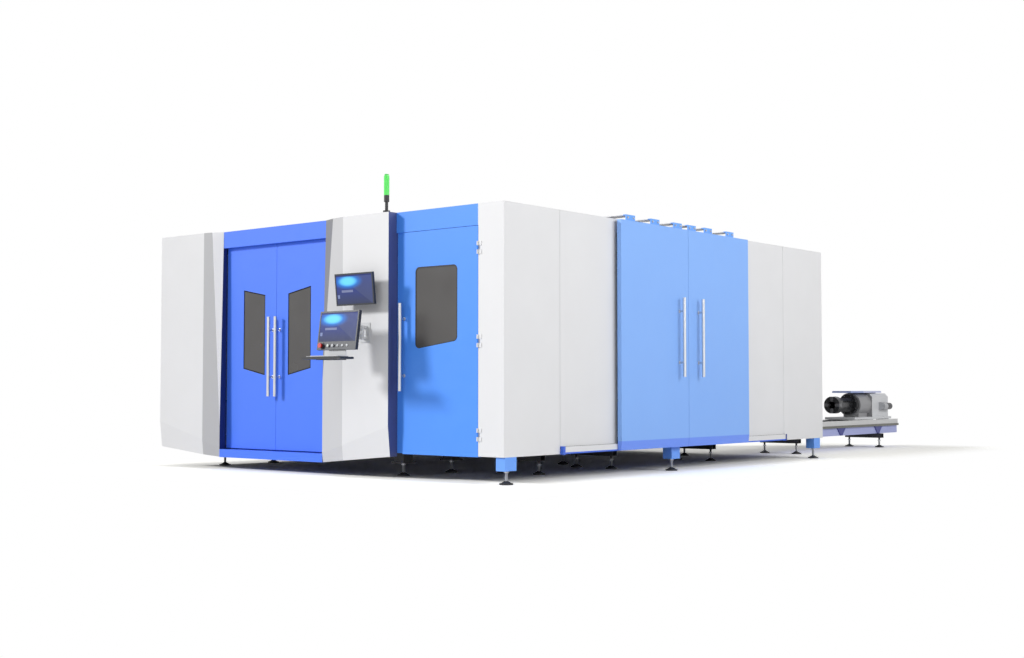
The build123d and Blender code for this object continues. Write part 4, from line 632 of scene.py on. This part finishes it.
def hexagon_bolt(radius, direction):
    """A bolt head with a washer about the origin, pointing along a direction."""
    deselect_all()
    turn = Vector(direction).to_track_quat("Z", "Y").to_euler()
    bpy.ops.mesh.primitive_cylinder_add(
        vertices=16, radius=radius * 1.25, depth=radius * 0.24, rotation=turn)
    washer = bpy.context.object
    head_centre = Vector(direction).normalized() * radius * 0.5
    bpy.ops.mesh.primitive_cylinder_add(
        vertices=6, radius=radius, depth=radius * 0.8, location=head_centre, rotation=turn)
    bpy.ops.object.mode_set(mode="EDIT")
    bpy.ops.mesh.select_all(action="SELECT")
    bpy.ops.mesh.bevel(offset=radius * 0.08, segments=1)
    bpy.ops.object.mode_set(mode="OBJECT")
    washer.select_set(True)
    bpy.ops.object.join()
    return bpy.context.object


def copied(first, moves, name, material, smooth=False):
    """One piece modelled about the origin, copied to every (place, turn) and joined into one."""
    apply_transform()
    copies = [first]
    for point, turn in moves[1:]:
        copy = first.copy()
        copy.data = first.data.copy()
        bpy.context.collection.objects.link(copy)
        copies.append(copy)
    for copy, (point, turn) in zip(copies, moves):
        copy.location = point
        copy.rotation_euler = turn
    deselect_all()
    for copy in copies:
        copy.select_set(True)
    bpy.context.view_layer.objects.active = first
    apply_transform()
    if len(copies) > 1:
        bpy.ops.object.join()
    return settle(name, material, smooth)


def bolts(radius, direction, points, name, material, body):
    """Hexagon bolts with washers at several points, all facing one way."""
    first = hexagon_bolt(radius, direction)
    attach(copied(first, [(point, (0, 0, 0)) for point in points], name, material), body)


def ring_collar(radius, thickness, bore, axis):
    """A turned collar about the origin: a disc with rounded edges and a hole."""
    deselect_all()
    turn = {"X": (0, math.radians(90), 0), "Y": (math.radians(90), 0, 0), "Z": (0, 0, 0)}[axis]
    bpy.ops.mesh.primitive_cylinder_add(vertices=28, radius=radius, depth=thickness, rotation=turn)
    edit_faces(lambda face: len(face.vertices) > 4)
    bpy.ops.mesh.inset(thickness=radius - bore)
    bpy.ops.mesh.bridge_edge_loops()
    outward_normals()
    bevel_modifier(thickness * 0.22)
    return bpy.context.object


def stadium_plate(length, radius, thickness, across):
    """An upright plate with round ends, thin along X and centred at a distance across."""
    deselect_all()
    turn = (math.radians(360 / 32), 0, 0)
    bpy.ops.mesh.primitive_cylinder_add(
        vertices=16, radius=radius, depth=thickness, rotation=(0, math.radians(90), 0))
    apply_transform()
    piece = bpy.context.object
    piece.rotation_euler = turn
    apply_transform()
    for side in (-1, 1):
        for vertex in piece.data.vertices:
            vertex.select = vertex.co.y * side > 0
        for kind in (piece.data.edges, piece.data.polygons):
            for item in kind:
                item.select = False
        bpy.ops.object.mode_set(mode="EDIT")
        bpy.ops.mesh.select_mode(type="VERT")
        bpy.ops.transform.translate(value=(0, side * length / 2, 0))
        bpy.ops.object.mode_set(mode="OBJECT")
    piece.location = (across, 0, 0)
    apply_transform()
    return piece


def chain_link(pitch, width, height):
    """One link: two side plates with round ends, their pivot bosses and two cross bars."""
    parts = []
    reach = width / 2 - 0.006
    for side in (-1, 1):
        parts.append(stadium_plate(pitch * 0.52, height / 2 - 0.001, 0.008, side * reach))
        for end in (-1, 1):
            deselect_all()
            bpy.ops.mesh.primitive_cylinder_add(
                vertices=14, radius=height * 0.24, depth=0.003, rotation=(0, math.radians(90), 0),
                location=(side * (reach + 0.0045), end * pitch * 0.30, 0))
            parts.append(bpy.context.object)
    for level in (-1, 1):
        bar = plain_block((0, 0, level * (height / 2 - 0.004)), (width - 0.02, pitch * 0.36, 0.004))
        bevel_modifier(0.0012)
        parts.append(bar)
    deselect_all()
    for part in parts:
        part.select_set(True)
    bpy.context.view_layer.objects.active = parts[0]
    bpy.ops.object.join()
    return bpy.context.object


def outline_frame(points, width, depth, name, material, corner=0.0):
    """A flat frame round a four-cornered outline in the XZ plane: inset, hollowed and given depth."""
    deselect_all()
    centre = sum((Vector(p) for p in points), Vector()) / 4
    bpy.ops.mesh.primitive_plane_add(size=1.0, location=centre, rotation=(math.radians(90), 0, 0))
    apply_transform()
    piece = bpy.context.object

    def same_side(offset):
        """The outline's corner that lies on the same side of the centre, across and up."""
        return max((Vector(p) for p in points), key=lambda p: (
            ((p.x - centre.x) * offset.x > 0) + ((p.z - centre.z) * offset.z > 0)))

    moves = [same_side(vertex.co - centre) - vertex.co for vertex in piece.data.vertices]
    for index, move in enumerate(moves):
        bpy.ops.object.mode_set(mode="EDIT")
        bpy.ops.mesh.select_all(action="DESELECT")
        bpy.ops.object.mode_set(mode="OBJECT")
        piece.data.vertices[index].select = True
        bpy.ops.object.mode_set(mode="EDIT")
        bpy.ops.mesh.select_mode(type="VERT")
        bpy.ops.transform.translate(value=move)
        bpy.ops.object.mode_set(mode="OBJECT")
    bpy.ops.object.mode_set(mode="EDIT")
    bpy.ops.mesh.select_all(action="SELECT")
    if corner > 0:
        bpy.ops.mesh.bevel(offset=corner, segments=8, affect="VERTICES")
    bpy.ops.mesh.select_mode(type="FACE")
    bpy.ops.mesh.select_all(action="SELECT")
    bpy.ops.mesh.inset(thickness=width)
    bpy.ops.mesh.delete(type="FACE")
    bpy.ops.object.mode_set(mode="OBJECT")
    solid = piece.modifiers.new("Depth", "SOLIDIFY")
    solid.thickness = depth
    solid.offset = 0.0
    bpy.ops.object.modifier_apply(modifier=solid.name)
    bpy.ops.object.mode_set(mode="EDIT")
    outward_normals()
    bevel_modifier(min(width, depth) * 0.3)
    return settle(name, material, True)


def paint(name, material):
    """Gives a node of the frame its finish."""
    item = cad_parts[name]
    item.data.materials.clear()
    item.data.materials.append(material)


# Operators, one for each group of the machine

class CUTTER_OT_cabin(bpy.types.Operator):
    """Powder coat of the cabin panels, pillars and frame, with painted light and shade on the pillars'
    facets and the right pillar's flank
    """

    bl_idname = "cutter.cabin"
    bl_label = "Cabin finish"

    def execute(self, context):
        finish = context.scene.cutter_finish
        panel = powder_coat("panel_coat", finish.panel_colour)
        for name in ("roof_panels", "left_and_back_wall_panels", "side_wall_panels", "corner_cover"):
            paint(name, panel)
        paint("portal_frame", powder_coat("portal_blue", finish.door_colour))
        paint("tube_doorway_frame", masked_coat("tube_doorway_coat", finish.tube_door_colour, [
            ([past("X", FIXED_HINGE_X)], finish.panel_colour),
        ]))
        paint("side_door_rails", masked_coat("guide_rail_coat", finish.panel_colour, [
            ([past("Z", GUIDE_RAIL_LIP_Z, -1)], RAIL_BLUE),
            ([past("Y", GUIDE_RAIL_START_Y, -1)], RAIL_BLUE),
            ([past("Y", GUIDE_RAIL_END_Y)], DARK_NAVY),
        ]))
        paint("left_pillar_cover", masked_coat("left_pillar_coat_and_light", finish.panel_colour, [
            ([past("X", LEFT_CREASE_X), beside_edge(LEFT_FACET_EDGE, -1)], finish.facet_colour),
            # The inner facet is painted near white: a painted highlight on the facet that faces the
            # light.
            ([beside_edge(LEFT_FACET_EDGE, 1)], (0.97, 0.97, 0.98)),
            ([past("X", LEFT_REVEAL_X)], (0.008, 0.020, 0.130)),
        ]))
        paint("right_pillar_cover", masked_coat("right_pillar_coat_and_shade", finish.panel_colour, [
            # The outer facet is the grey facet paint, set lighter than on the left pillar as painted
            # light.
            ([past("X", RIGHT_CREASE_X, -1), beside_edge(RIGHT_FACET_EDGE, 1)], (0.60, 0.60, 0.61)),
            # The inner facet is painted dark grey: painted shade on the facet that faces away from the
            # light.
            ([beside_edge(RIGHT_FACET_EDGE, -1)], (0.22, 0.22, 0.225)),
            # Past the reveal the white flank is painted navy: painted shade with a painted blue
            # reflection, on the side in shadow.
            ([past("X", RIGHT_REVEAL_X)], (0.075, 0.095, 0.240)),
        ]))
        paint("enclosure_frame", powder_coat("frame_coat", (0.10, 0.10, 0.11)))
        return {"FINISHED"}


def window_seals(seal):
    """Rubber seals round the slanted portal windows and the tube door's window."""
    width = bpy.context.scene.cutter_detail.seal_width
    for name, way in (("left", -1), ("right", 1)):
        outer = PORTAL_CENTRE + way * WINDOW_OUTER
        inner = PORTAL_CENTRE + way * WINDOW_INNER
        outline = [
            place(outer, PORTAL_SEAL_Y, WINDOW_TOP["outer"]),
            place(inner, PORTAL_SEAL_Y, WINDOW_TOP["inner"]),
            place(inner, PORTAL_SEAL_Y, WINDOW_FOOT["inner"]),
            place(outer, PORTAL_SEAL_Y, WINDOW_FOOT["outer"]),
        ]
        ring = outline_frame(outline, width, 0.003, f"front_{name}_window_seal", seal)
        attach(ring, f"front_{name}_door")
    left, right = TUBE_WINDOW_X
    outline = [
        place(left, TUBE_SEAL_Y, TUBE_WINDOW_TOP),
        place(right, TUBE_SEAL_Y, TUBE_WINDOW_TOP),
        place(right, TUBE_SEAL_Y, TUBE_WINDOW_FOOT[1]),
        place(left, TUBE_SEAL_Y, TUBE_WINDOW_FOOT[0]),
    ]
    ring = outline_frame(outline, width, 0.0025, "tube_door_window_seal", seal, TUBE_WINDOW_CORNER)
    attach(ring, "tube_door")


def bar_collars(steel):
    """A turned collar where each post of a pull bar meets its door."""
    for name, (x, face, heights) in FRONT_BARS.items():
        first = ring_collar(COLLAR_RADIUS, COLLAR_THICKNESS, COLLAR_BORE, "Y")
        moves = [(place(x, face - COLLAR_STANDOFF, height), (0, 0, 0)) for height in heights]
        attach(copied(first, moves, f"{name}_bar_collars", steel, True), f"{name}_door")
    for name, y in SIDE_BAR_Y.items():
        first = ring_collar(COLLAR_RADIUS, COLLAR_THICKNESS, COLLAR_BORE, "X")
        moves = [(place(SIDE_COLLAR_X, y, height), (0, 0, 0)) for height in SIDE_POST_HEIGHTS]
        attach(copied(first, moves, f"side_{name}_bar_collars", steel, True), f"side_{name}_door")


def hanger_bolts():
    """Two bolts through the front of each hanger of the side doors."""
    radius = bpy.context.scene.cutter_detail.bolt_radius
    plated = brushed_metal("plated_bolt", (0.55, 0.56, 0.58), "X", 0.3)
    for name, centres in HANGER_CENTRES.items():
        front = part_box(f"side_{name}_hangers")[1].x
        points = []
        for y in centres:
            for side in (-1, 1):
                point = place(0, y + side * HANGER_BOLT_OFFSET, HANGER_BOLT_Z)
                points.append((front, point.y, point.z))
        bolts(radius, (1, 0, 0), points, f"side_{name}_hanger_bolts", plated, f"side_{name}_door")


class CUTTER_OT_doors(bpy.types.Operator):
    """Blue doors with their glass, seals, bars and hangers"""

    bl_idname = "cutter.doors"
    bl_label = "Doors"

    def execute(self, context):
        finish = context.scene.cutter_finish
        front = powder_coat("front_door_coat", finish.door_colour)
        side = masked_coat("side_door_coat", finish.side_door_colour, [
            ([past("Z", SIDE_DOOR_BAND_Z, -1)], (0.165, 0.320, 0.980)),
        ])
        glass = safety_glass("dark_safety_glass")
        steel = brushed_metal("brushed_bar", (0.62, 0.63, 0.65))
        seal = moulded_plastic("black_seal", (0.02, 0.02, 0.022), 0.6)
        for name in ("front_left_door", "front_right_door"):
            paint(name, front)
        paint("tube_door", powder_coat("tube_door_coat", finish.tube_door_colour))
        for name in ("side_front_door", "side_rear_door"):
            paint(name, side)
        for name in ("front_left_window", "front_right_window", "tube_door_window"):
            paint(name, glass)
        for name in ("front_left", "front_right", "tube_door", "side_front", "side_rear"):
            paint(f"{name}_handle", steel)
        hanger = masked_coat("hanger_coat", (0.16, 0.42, 1.0), [
            ([past("X", HANGER_CAP_X, -1)], finish.panel_colour),
        ], 0.35)
        for name in ("side_front_hangers", "side_rear_hangers"):
            paint(name, hanger)
        window_seals(seal)
        bar_collars(steel)
        hanger_bolts()
        return {"FINISHED"}


def pilot_lamps(metal):
    """Three small lamps in a row on the console's face, each a domed lens in a turned bezel."""
    lean = math.radians(CONSOLE_LEAN)
    x, y, z = CONSOLE_PIVOT
    y += PILOT_OUTWARD * math.cos(lean) - PILOT_LEVEL * math.sin(lean)
    z += PILOT_OUTWARD * math.sin(lean) + PILOT_LEVEL * math.cos(lean)
    moves = [(place(x + across, y, z), (lean, 0, 0)) for across in PILOT_ACROSS]
    first = ring_collar(0.011, 0.006, 0.006, "Y")
    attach(copied(first, moves, "pilot_lamp_bezels", metal, True), "console")
    lens = moulded_plastic("pilot_lens", (0.50, 0.54, 0.60), 0.25)
    deselect_all()
    bpy.ops.mesh.primitive_uv_sphere_add(segments=20, ring_count=10, radius=0.0075)
    dome = bpy.context.object
    dome.scale = (1.0, 0.55, 1.0)
    apply_transform()
    bpy.ops.object.mode_set(mode="EDIT")
    bpy.ops.mesh.select_all(action="SELECT")
    bpy.ops.mesh.bisect(plane_co=(0, 0.0015, 0), plane_no=(0, 1, 0), use_fill=True, clear_outer=True)
    bpy.ops.object.mode_set(mode="OBJECT")
    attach(copied(dome, moves, "pilot_lamp_domes", lens, True), "console")


def lamp_ribs(lens):
    """Evenly spaced ribs round the signal tower's lens."""
    bottom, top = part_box("signal_tower_lamp")
    centre = (bottom + top) / 2
    count = bpy.context.scene.cutter_detail.lamp_rings
    low = bottom.z + 0.008
    step = (top.z - 0.026 - low) / (count - 1)
    deselect_all()
    bpy.ops.mesh.primitive_torus_add(
        major_radius=0.0240, minor_radius=0.0024, major_segments=32, minor_segments=8)
    moves = [((centre.x, centre.y, low + index * step), (0, 0, 0)) for index in range(count)]
    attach(copied(bpy.context.object, moves, "signal_lamp_ribs", lens, True), "enclosure")


class CUTTER_OT_controls(bpy.types.Operator):
    """Console, monitor, buttons and signal tower"""

    bl_idname = "cutter.controls"
    bl_label = "Controls"

    def execute(self, context):
        shell = moulded_plastic("screen_shell", (0.03, 0.034, 0.045), 0.4)
        metal = powder_coat("bracket_coat", (0.70, 0.71, 0.72), 0.35)
        for name in ("monitor_housing", "console_housing"):
            paint(name, shell)
        for name in ("screen_brackets", "console_arm"):
            paint(name, metal)
        paint("keyboard_tray", masked_coat("shelf_coat", (0.022, 0.023, 0.027), [
            ([past("Z", KEYBOARD_Z)], (0.66, 0.67, 0.69)),
        ], 0.4))
        for name, label in (("monitor_screen", "monitor_page"), ("console_screen", "console_page")):
            low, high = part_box(name)
            paint(name, screen_display(label, low, high))
        paint("emergency_stop", moulded_plastic("stop_red", (0.62, 0.02, 0.015), 0.3))
        paint("start_button", moulded_plastic("start_pale", (0.60, 0.66, 0.60), 0.3))
        paint("stop_button", moulded_plastic("stop_pale", (0.52, 0.53, 0.56), 0.3))
        pilot_lamps(metal)
        lens = lamp_lens("signal_lens")
        lamp_ribs(lens)
        paint("signal_tower_stem", moulded_plastic("black_moulding", (0.02, 0.02, 0.022), 0.5))
        paint("signal_tower_lamp", lens)
        return {"FINISHED"}


class CUTTER_OT_machine(bpy.types.Operator):
    """Machine bed, gantry and cutting head inside the cabin"""

    bl_idname = "cutter.machine"
    bl_label = "Machine inside"

    def execute(self, context):
        finish = context.scene.cutter_finish
        paint("machine_bed", masked_coat("bed_coat", finish.bed_colour, [
            ([past("Z", MACHINE_LEG_Z, -1)], (0.03, 0.03, 0.034)),
        ]))
        paint("slat_table", cast_metal("slat_steel", (0.20, 0.20, 0.21), 0.5))
        paint("linear_rails", brushed_metal("ground_rail", (0.50, 0.51, 0.53), "Y", 0.26))
        for name in ("gantry_beam", "cutting_carriage", "height_slide"):
            paint(name, brushed_metal(f"{name}_alloy", (0.66, 0.67, 0.69), "X", 0.4))
        paint("cutting_head", cast_metal("head_black", (0.05, 0.05, 0.055), 0.35))
        paint("front_chuck_housing", cast_metal("front_chuck_coat", (0.16, 0.17, 0.19)))
        for name in ("front_chuck_ring", "front_jaw_upper", "front_jaw_lower"):
            paint(name, cast_metal(f"{name}_steel", (0.28, 0.29, 0.31), 0.35))
        return {"FINISHED"}


def flange_bolts():
    """A ring of bolts in the front of the chuck's flange."""
    count = bpy.context.scene.cutter_detail.flange_bolts
    dark_steel = brushed_metal("black_bolt", (0.20, 0.20, 0.21), "Y", 0.35)
    points = []
    for index in range(count):
        angle = math.radians(360 / count * (index + 0.5))
        points.append(place(
            TUBE_X + FLANGE_BOLT_CIRCLE * math.sin(angle), FLANGE_FACE_Y,
            CHUCK_AXIS_Z + FLANGE_BOLT_CIRCLE * math.cos(angle)))
    bolts(0.008, (0, -1, 0), points, "flange_bolts", dark_steel, "chuck_spindle")


def rail_guards():
    """Long folded strips that cover the outer and inner sides of the tube bed's rails."""
    coat = powder_coat("rail_guard_coat", (0.66, 0.66, 0.66))
    for name, side in (("outer", 1), ("inner", -1)):
        plain_block(place(TUBE_X + side * RAIL_GUARD_OFFSET, *RAIL_GUARD_CENTRE), RAIL_GUARD_SIZE)
        edit_faces(lambda face: face.normal.x * side > 0.9)
        bpy.ops.mesh.inset(thickness=0.010)
        bpy.ops.transform.translate(value=(side * 0.0015, 0, 0))
        bpy.ops.object.mode_set(mode="OBJECT")
        bevel_modifier(0.0006)
        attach(settle(f"{name}_rail_guard", coat), "enclosure")


def bed_gussets():
    """A tapered plate on each side of the tube bed, between its last two pairs of feet."""
    coat = powder_coat("gusset_coat", NAVY)
    size = (GUSSET_THICKNESS, GUSSET_TOP_WIDTH, (GUSSET_HIGH - GUSSET_LOW) / 1000)
    taper = (1, GUSSET_FOOT_WIDTH / GUSSET_TOP_WIDTH, 1)
    for name, side in (("near", 1), ("far", -1)):
        x = TUBE_X + side * GUSSET_OFFSET
        plain_block(place(x, GUSSET_Y, (GUSSET_LOW + GUSSET_HIGH) / 2), size)
        edit_faces(lambda face: face.normal.z < -0.9)
        bpy.ops.transform.resize(value=taper, center_override=place(x, GUSSET_Y, GUSSET_LOW))
        bpy.ops.object.mode_set(mode="OBJECT")
        bevel_modifier(0.001)
        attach(settle(f"{name}_bed_gusset", coat), "enclosure")


def energy_chain_links():
    """The chain's links: a straight run on the bed, then a half turn up behind the carriage."""
    chain = moulded_plastic("chain_black", (0.02, 0.02, 0.022), 0.45)
    count = bpy.context.scene.cutter_detail.chain_links
    pitch = (CHAIN_TURN_Y - CHAIN_START_Y) / count
    places = [place(TUBE_X, CHAIN_START_Y + index * pitch, CHAIN_LOW) for index in range(count)]
    moves = [(point, (0, 0, 0)) for point in places]
    radius = (CHAIN_HIGH - CHAIN_LOW) / 2
    reach = radius * 0.985
    for index in range(CHAIN_BENDS):
        angle = math.radians(-90 + 180 / CHAIN_BENDS * (index + 0.5))
        point = place(
            TUBE_X, CHAIN_TURN_Y + reach * math.cos(angle), CHAIN_LOW + radius + reach * math.sin(angle))
        moves.append((point, (angle + math.radians(90), 0, 0)))
    link_piece = chain_link(pitch / 1000, CHAIN_WIDTH, CHAIN_HEIGHT)
    links = copied(link_piece, moves, "energy_chain_links", chain, True)
    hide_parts("energy_chain")
    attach(links, "chuck_carriage")


class CUTTER_OT_tube_line(bpy.types.Operator):
    """Tube bed, chuck carriage, chuck and energy chain"""

    bl_idname = "cutter.tube_line"
    bl_label = "Tube line"

    def execute(self, context):
        finish = context.scene.cutter_finish
        near, far = TUBE_GUSSET_X
        paint("tube_bed", masked_coat("tube_bed_coat_and_shade", finish.bed_colour, [
            ([past("Z", TUBE_PLATE_Z)], (0.60, 0.60, 0.60)),
            # A dark strip on the plate past the outer rail guard: painted shade at the foot of the
            # guard.
            ([past("Z", TUBE_PLATE_Z), past("X", TUBE_PLATE_EDGE_X)], (0.13, 0.13, 0.11)),
            ([past("Z", TUBE_PLATE_Z, -1), past("X", near)], NAVY),
            ([past("Z", TUBE_PLATE_Z, -1), past("X", far, -1)], NAVY),
        ]))
        paint("chuck_carriage", masked_coat("carriage_coat", (0.70, 0.71, 0.73), [
            ([past("Y", DRUM_END_Y, -1), past("Z", SADDLE_Z)], (0.30, 0.30, 0.31)),
        ]))
        paint("chuck_cover", masked_coat("cover_coat_and_light", (0.30, 0.38, 0.68), [
            # Past the fold the cover is painted lighter: painted light on that face of the same blue
            # sheet.
            ([past("Y", COVER_FOLD_Y)], (0.56, 0.60, 0.84)),
        ]))
        paint("chuck_motor", masked_coat("motor_coat", (0.03, 0.03, 0.035), [
            ([past("Y", MOTOR_FLANGE_Y, -1)], (0.46, 0.47, 0.49)),
        ], 0.4))
        paint("chuck_body", cast_metal("chuck_black", (0.030, 0.031, 0.034), 0.3))
        for index in range(1, 5):
            paint(f"chuck_jaw_{index}", cast_metal(f"jaw_steel_{index}", (0.14, 0.14, 0.15), 0.35))
        flange_bolts()
        rail_guards()
        bed_gussets()
        energy_chain_links()
        return {"FINISHED"}


class CUTTER_OT_feet(bpy.types.Operator):
    """Foot blocks, levelling feet and cross beams"""

    bl_idname = "cutter.feet"
    bl_label = "Feet"

    def execute(self, context):
        paint("foot_blocks", powder_coat("foot_block_coat", (0.15, 0.38, 1.0)))
        left, right = CROSS_BEAM_X
        paint("levelling_feet_and_legs", masked_coat("leg_coat", LEG_BLACK, [
            ([past("Z", STUD_Z)], (0.40, 0.41, 0.43)),
            ([past("Z", CROSS_BEAM_Z), past("X", left), past("X", right, -1)], LEG_BLACK),
        ], 0.4))
        deselect_all()
        bpy.ops.mesh.primitive_cylinder_add(vertices=6, radius=0.021, depth=0.012)
        bevel_modifier(0.0015)
        moves = [(place(x, y, z), (0, 0, 0)) for xs, ys, z in STUD_ROWS for x in xs for y in ys]
        plated = brushed_metal("plated_nut", (0.50, 0.51, 0.53), "Z", 0.35)
        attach(copied(bpy.context.object, moves, "stud_lock_nuts", plated), "enclosure")
        return {"FINISHED"}


def even_sky(strength):
    """A sky that lights evenly from all round and shows as plain white."""
    world = bpy.data.worlds.new("even_sky")
    bpy.context.scene.world = world
    world.use_nodes = True
    background = world.node_tree.nodes["Background"]
    background.inputs["Color"].default_value = (1, 1, 1, 1)
    level = ranged(world, seen_directly(world), 0.0, 1.0, strength, 1.0)
    link(world, level, background.inputs["Strength"])


def sun_lamp(name, direction, softness, strength):
    """A far lamp that shines along a direction, with its softness in degrees."""
    deselect_all()
    bpy.ops.object.light_add(type="SUN", location=(-8, -10, 9))
    sun = bpy.context.object
    sun.name = name
    sun.data.energy = strength
    sun.data.angle = math.radians(softness)
    sun.rotation_euler = Vector(direction).to_track_quat("-Z", "Y").to_euler()


def area_lamp(name, location, target, size, power):
    """A large soft lamp that faces a target."""
    deselect_all()
    bpy.ops.object.light_add(type="AREA", location=location)
    item = bpy.context.object
    item.name = name
    item.data.shape = "RECTANGLE"
    item.data.size = size[0]
    item.data.size_y = size[1]
    item.data.energy = power
    item.rotation_euler = (Vector(target) - Vector(location)).to_track_quat("-Z", "Y").to_euler()


class CUTTER_OT_stage(bpy.types.Operator):
    """Pale floor, soft lamps and the view camera"""

    bl_idname = "cutter.stage"
    bl_label = "Stage"

    def execute(self, context):
        settings = context.scene.cutter_stage
        deselect_all()
        bpy.ops.mesh.primitive_plane_add(size=settings.floor_size, location=(0, 0, 0))
        floor = bpy.context.object
        floor.name = "floor"
        floor.data.materials.append(floor_material())
        even_sky(settings.world_strength)
        sun_lamp("high_lamp", (1.0, 1.0, -0.62), 9, settings.sun_strength)
        area_lamp("front_lamp", (4.5, -11.0, 5.0), (1.5, -4.4, 1.2), (6, 4), settings.key_strength)
        area_lamp("side_lamp", (14.0, -0.8, 6.5), (2.2, -0.4, 1.0), (10, 5), settings.side_strength)
        bpy.ops.object.camera_add(
            location=place(*CAMERA_PLACE),
            rotation=(math.radians(CAMERA_TILT), 0, math.radians(CAMERA_TURN)))
        camera = bpy.context.object
        camera.name = "view_camera"
        camera.data.lens = settings.focal_length
        camera.data.sensor_width = 36.0
        camera.data.clip_end = 500.0
        context.scene.camera = camera
        context.scene.view_settings.view_transform = "Standard"
        return {"FINISHED"}


class CUTTER_PT_panel(bpy.types.Panel):
    """Buttons and settings of the laser cutter in the sidebar"""

    bl_label = "Laser Cutter"
    bl_idname = "CUTTER_PT_panel"
    bl_space_type = "VIEW_3D"
    bl_region_type = "UI"
    bl_category = "Laser Cutter"

    def draw(self, context):
        layout = self.layout
        scene = context.scene
        for group in (scene.cutter_finish, scene.cutter_detail, scene.cutter_stage):
            box = layout.box()
            for name in group.__annotations__:
                box.prop(group, name)
        for operator in OPERATORS:
            layout.operator(operator.bl_idname)


OPERATORS = (
    CUTTER_OT_cabin,
    CUTTER_OT_doors,
    CUTTER_OT_controls,
    CUTTER_OT_machine,
    CUTTER_OT_tube_line,
    CUTTER_OT_feet,
    CUTTER_OT_stage,
)
CLASSES = (FinishSettings, DetailSettings, StageSettings, *OPERATORS, CUTTER_PT_panel)


def register():
    for item in CLASSES:
        bpy.utils.register_class(item)
    bpy.types.Scene.cutter_finish = PointerProperty(type=FinishSettings)
    bpy.types.Scene.cutter_detail = PointerProperty(type=DetailSettings)
    bpy.types.Scene.cutter_stage = PointerProperty(type=StageSettings)


def unregister():
    del bpy.types.Scene.cutter_stage
    del bpy.types.Scene.cutter_detail
    del bpy.types.Scene.cutter_finish
    for item in reversed(CLASSES):
        bpy.utils.unregister_class(item)


def main():
    register()
    bpy.ops.cutter.cabin()
    bpy.ops.cutter.doors()
    bpy.ops.cutter.controls()
    bpy.ops.cutter.machine()
    bpy.ops.cutter.tube_line()
    bpy.ops.cutter.feet()
    bpy.ops.cutter.stage()


if __name__ == "__main__":
    main()
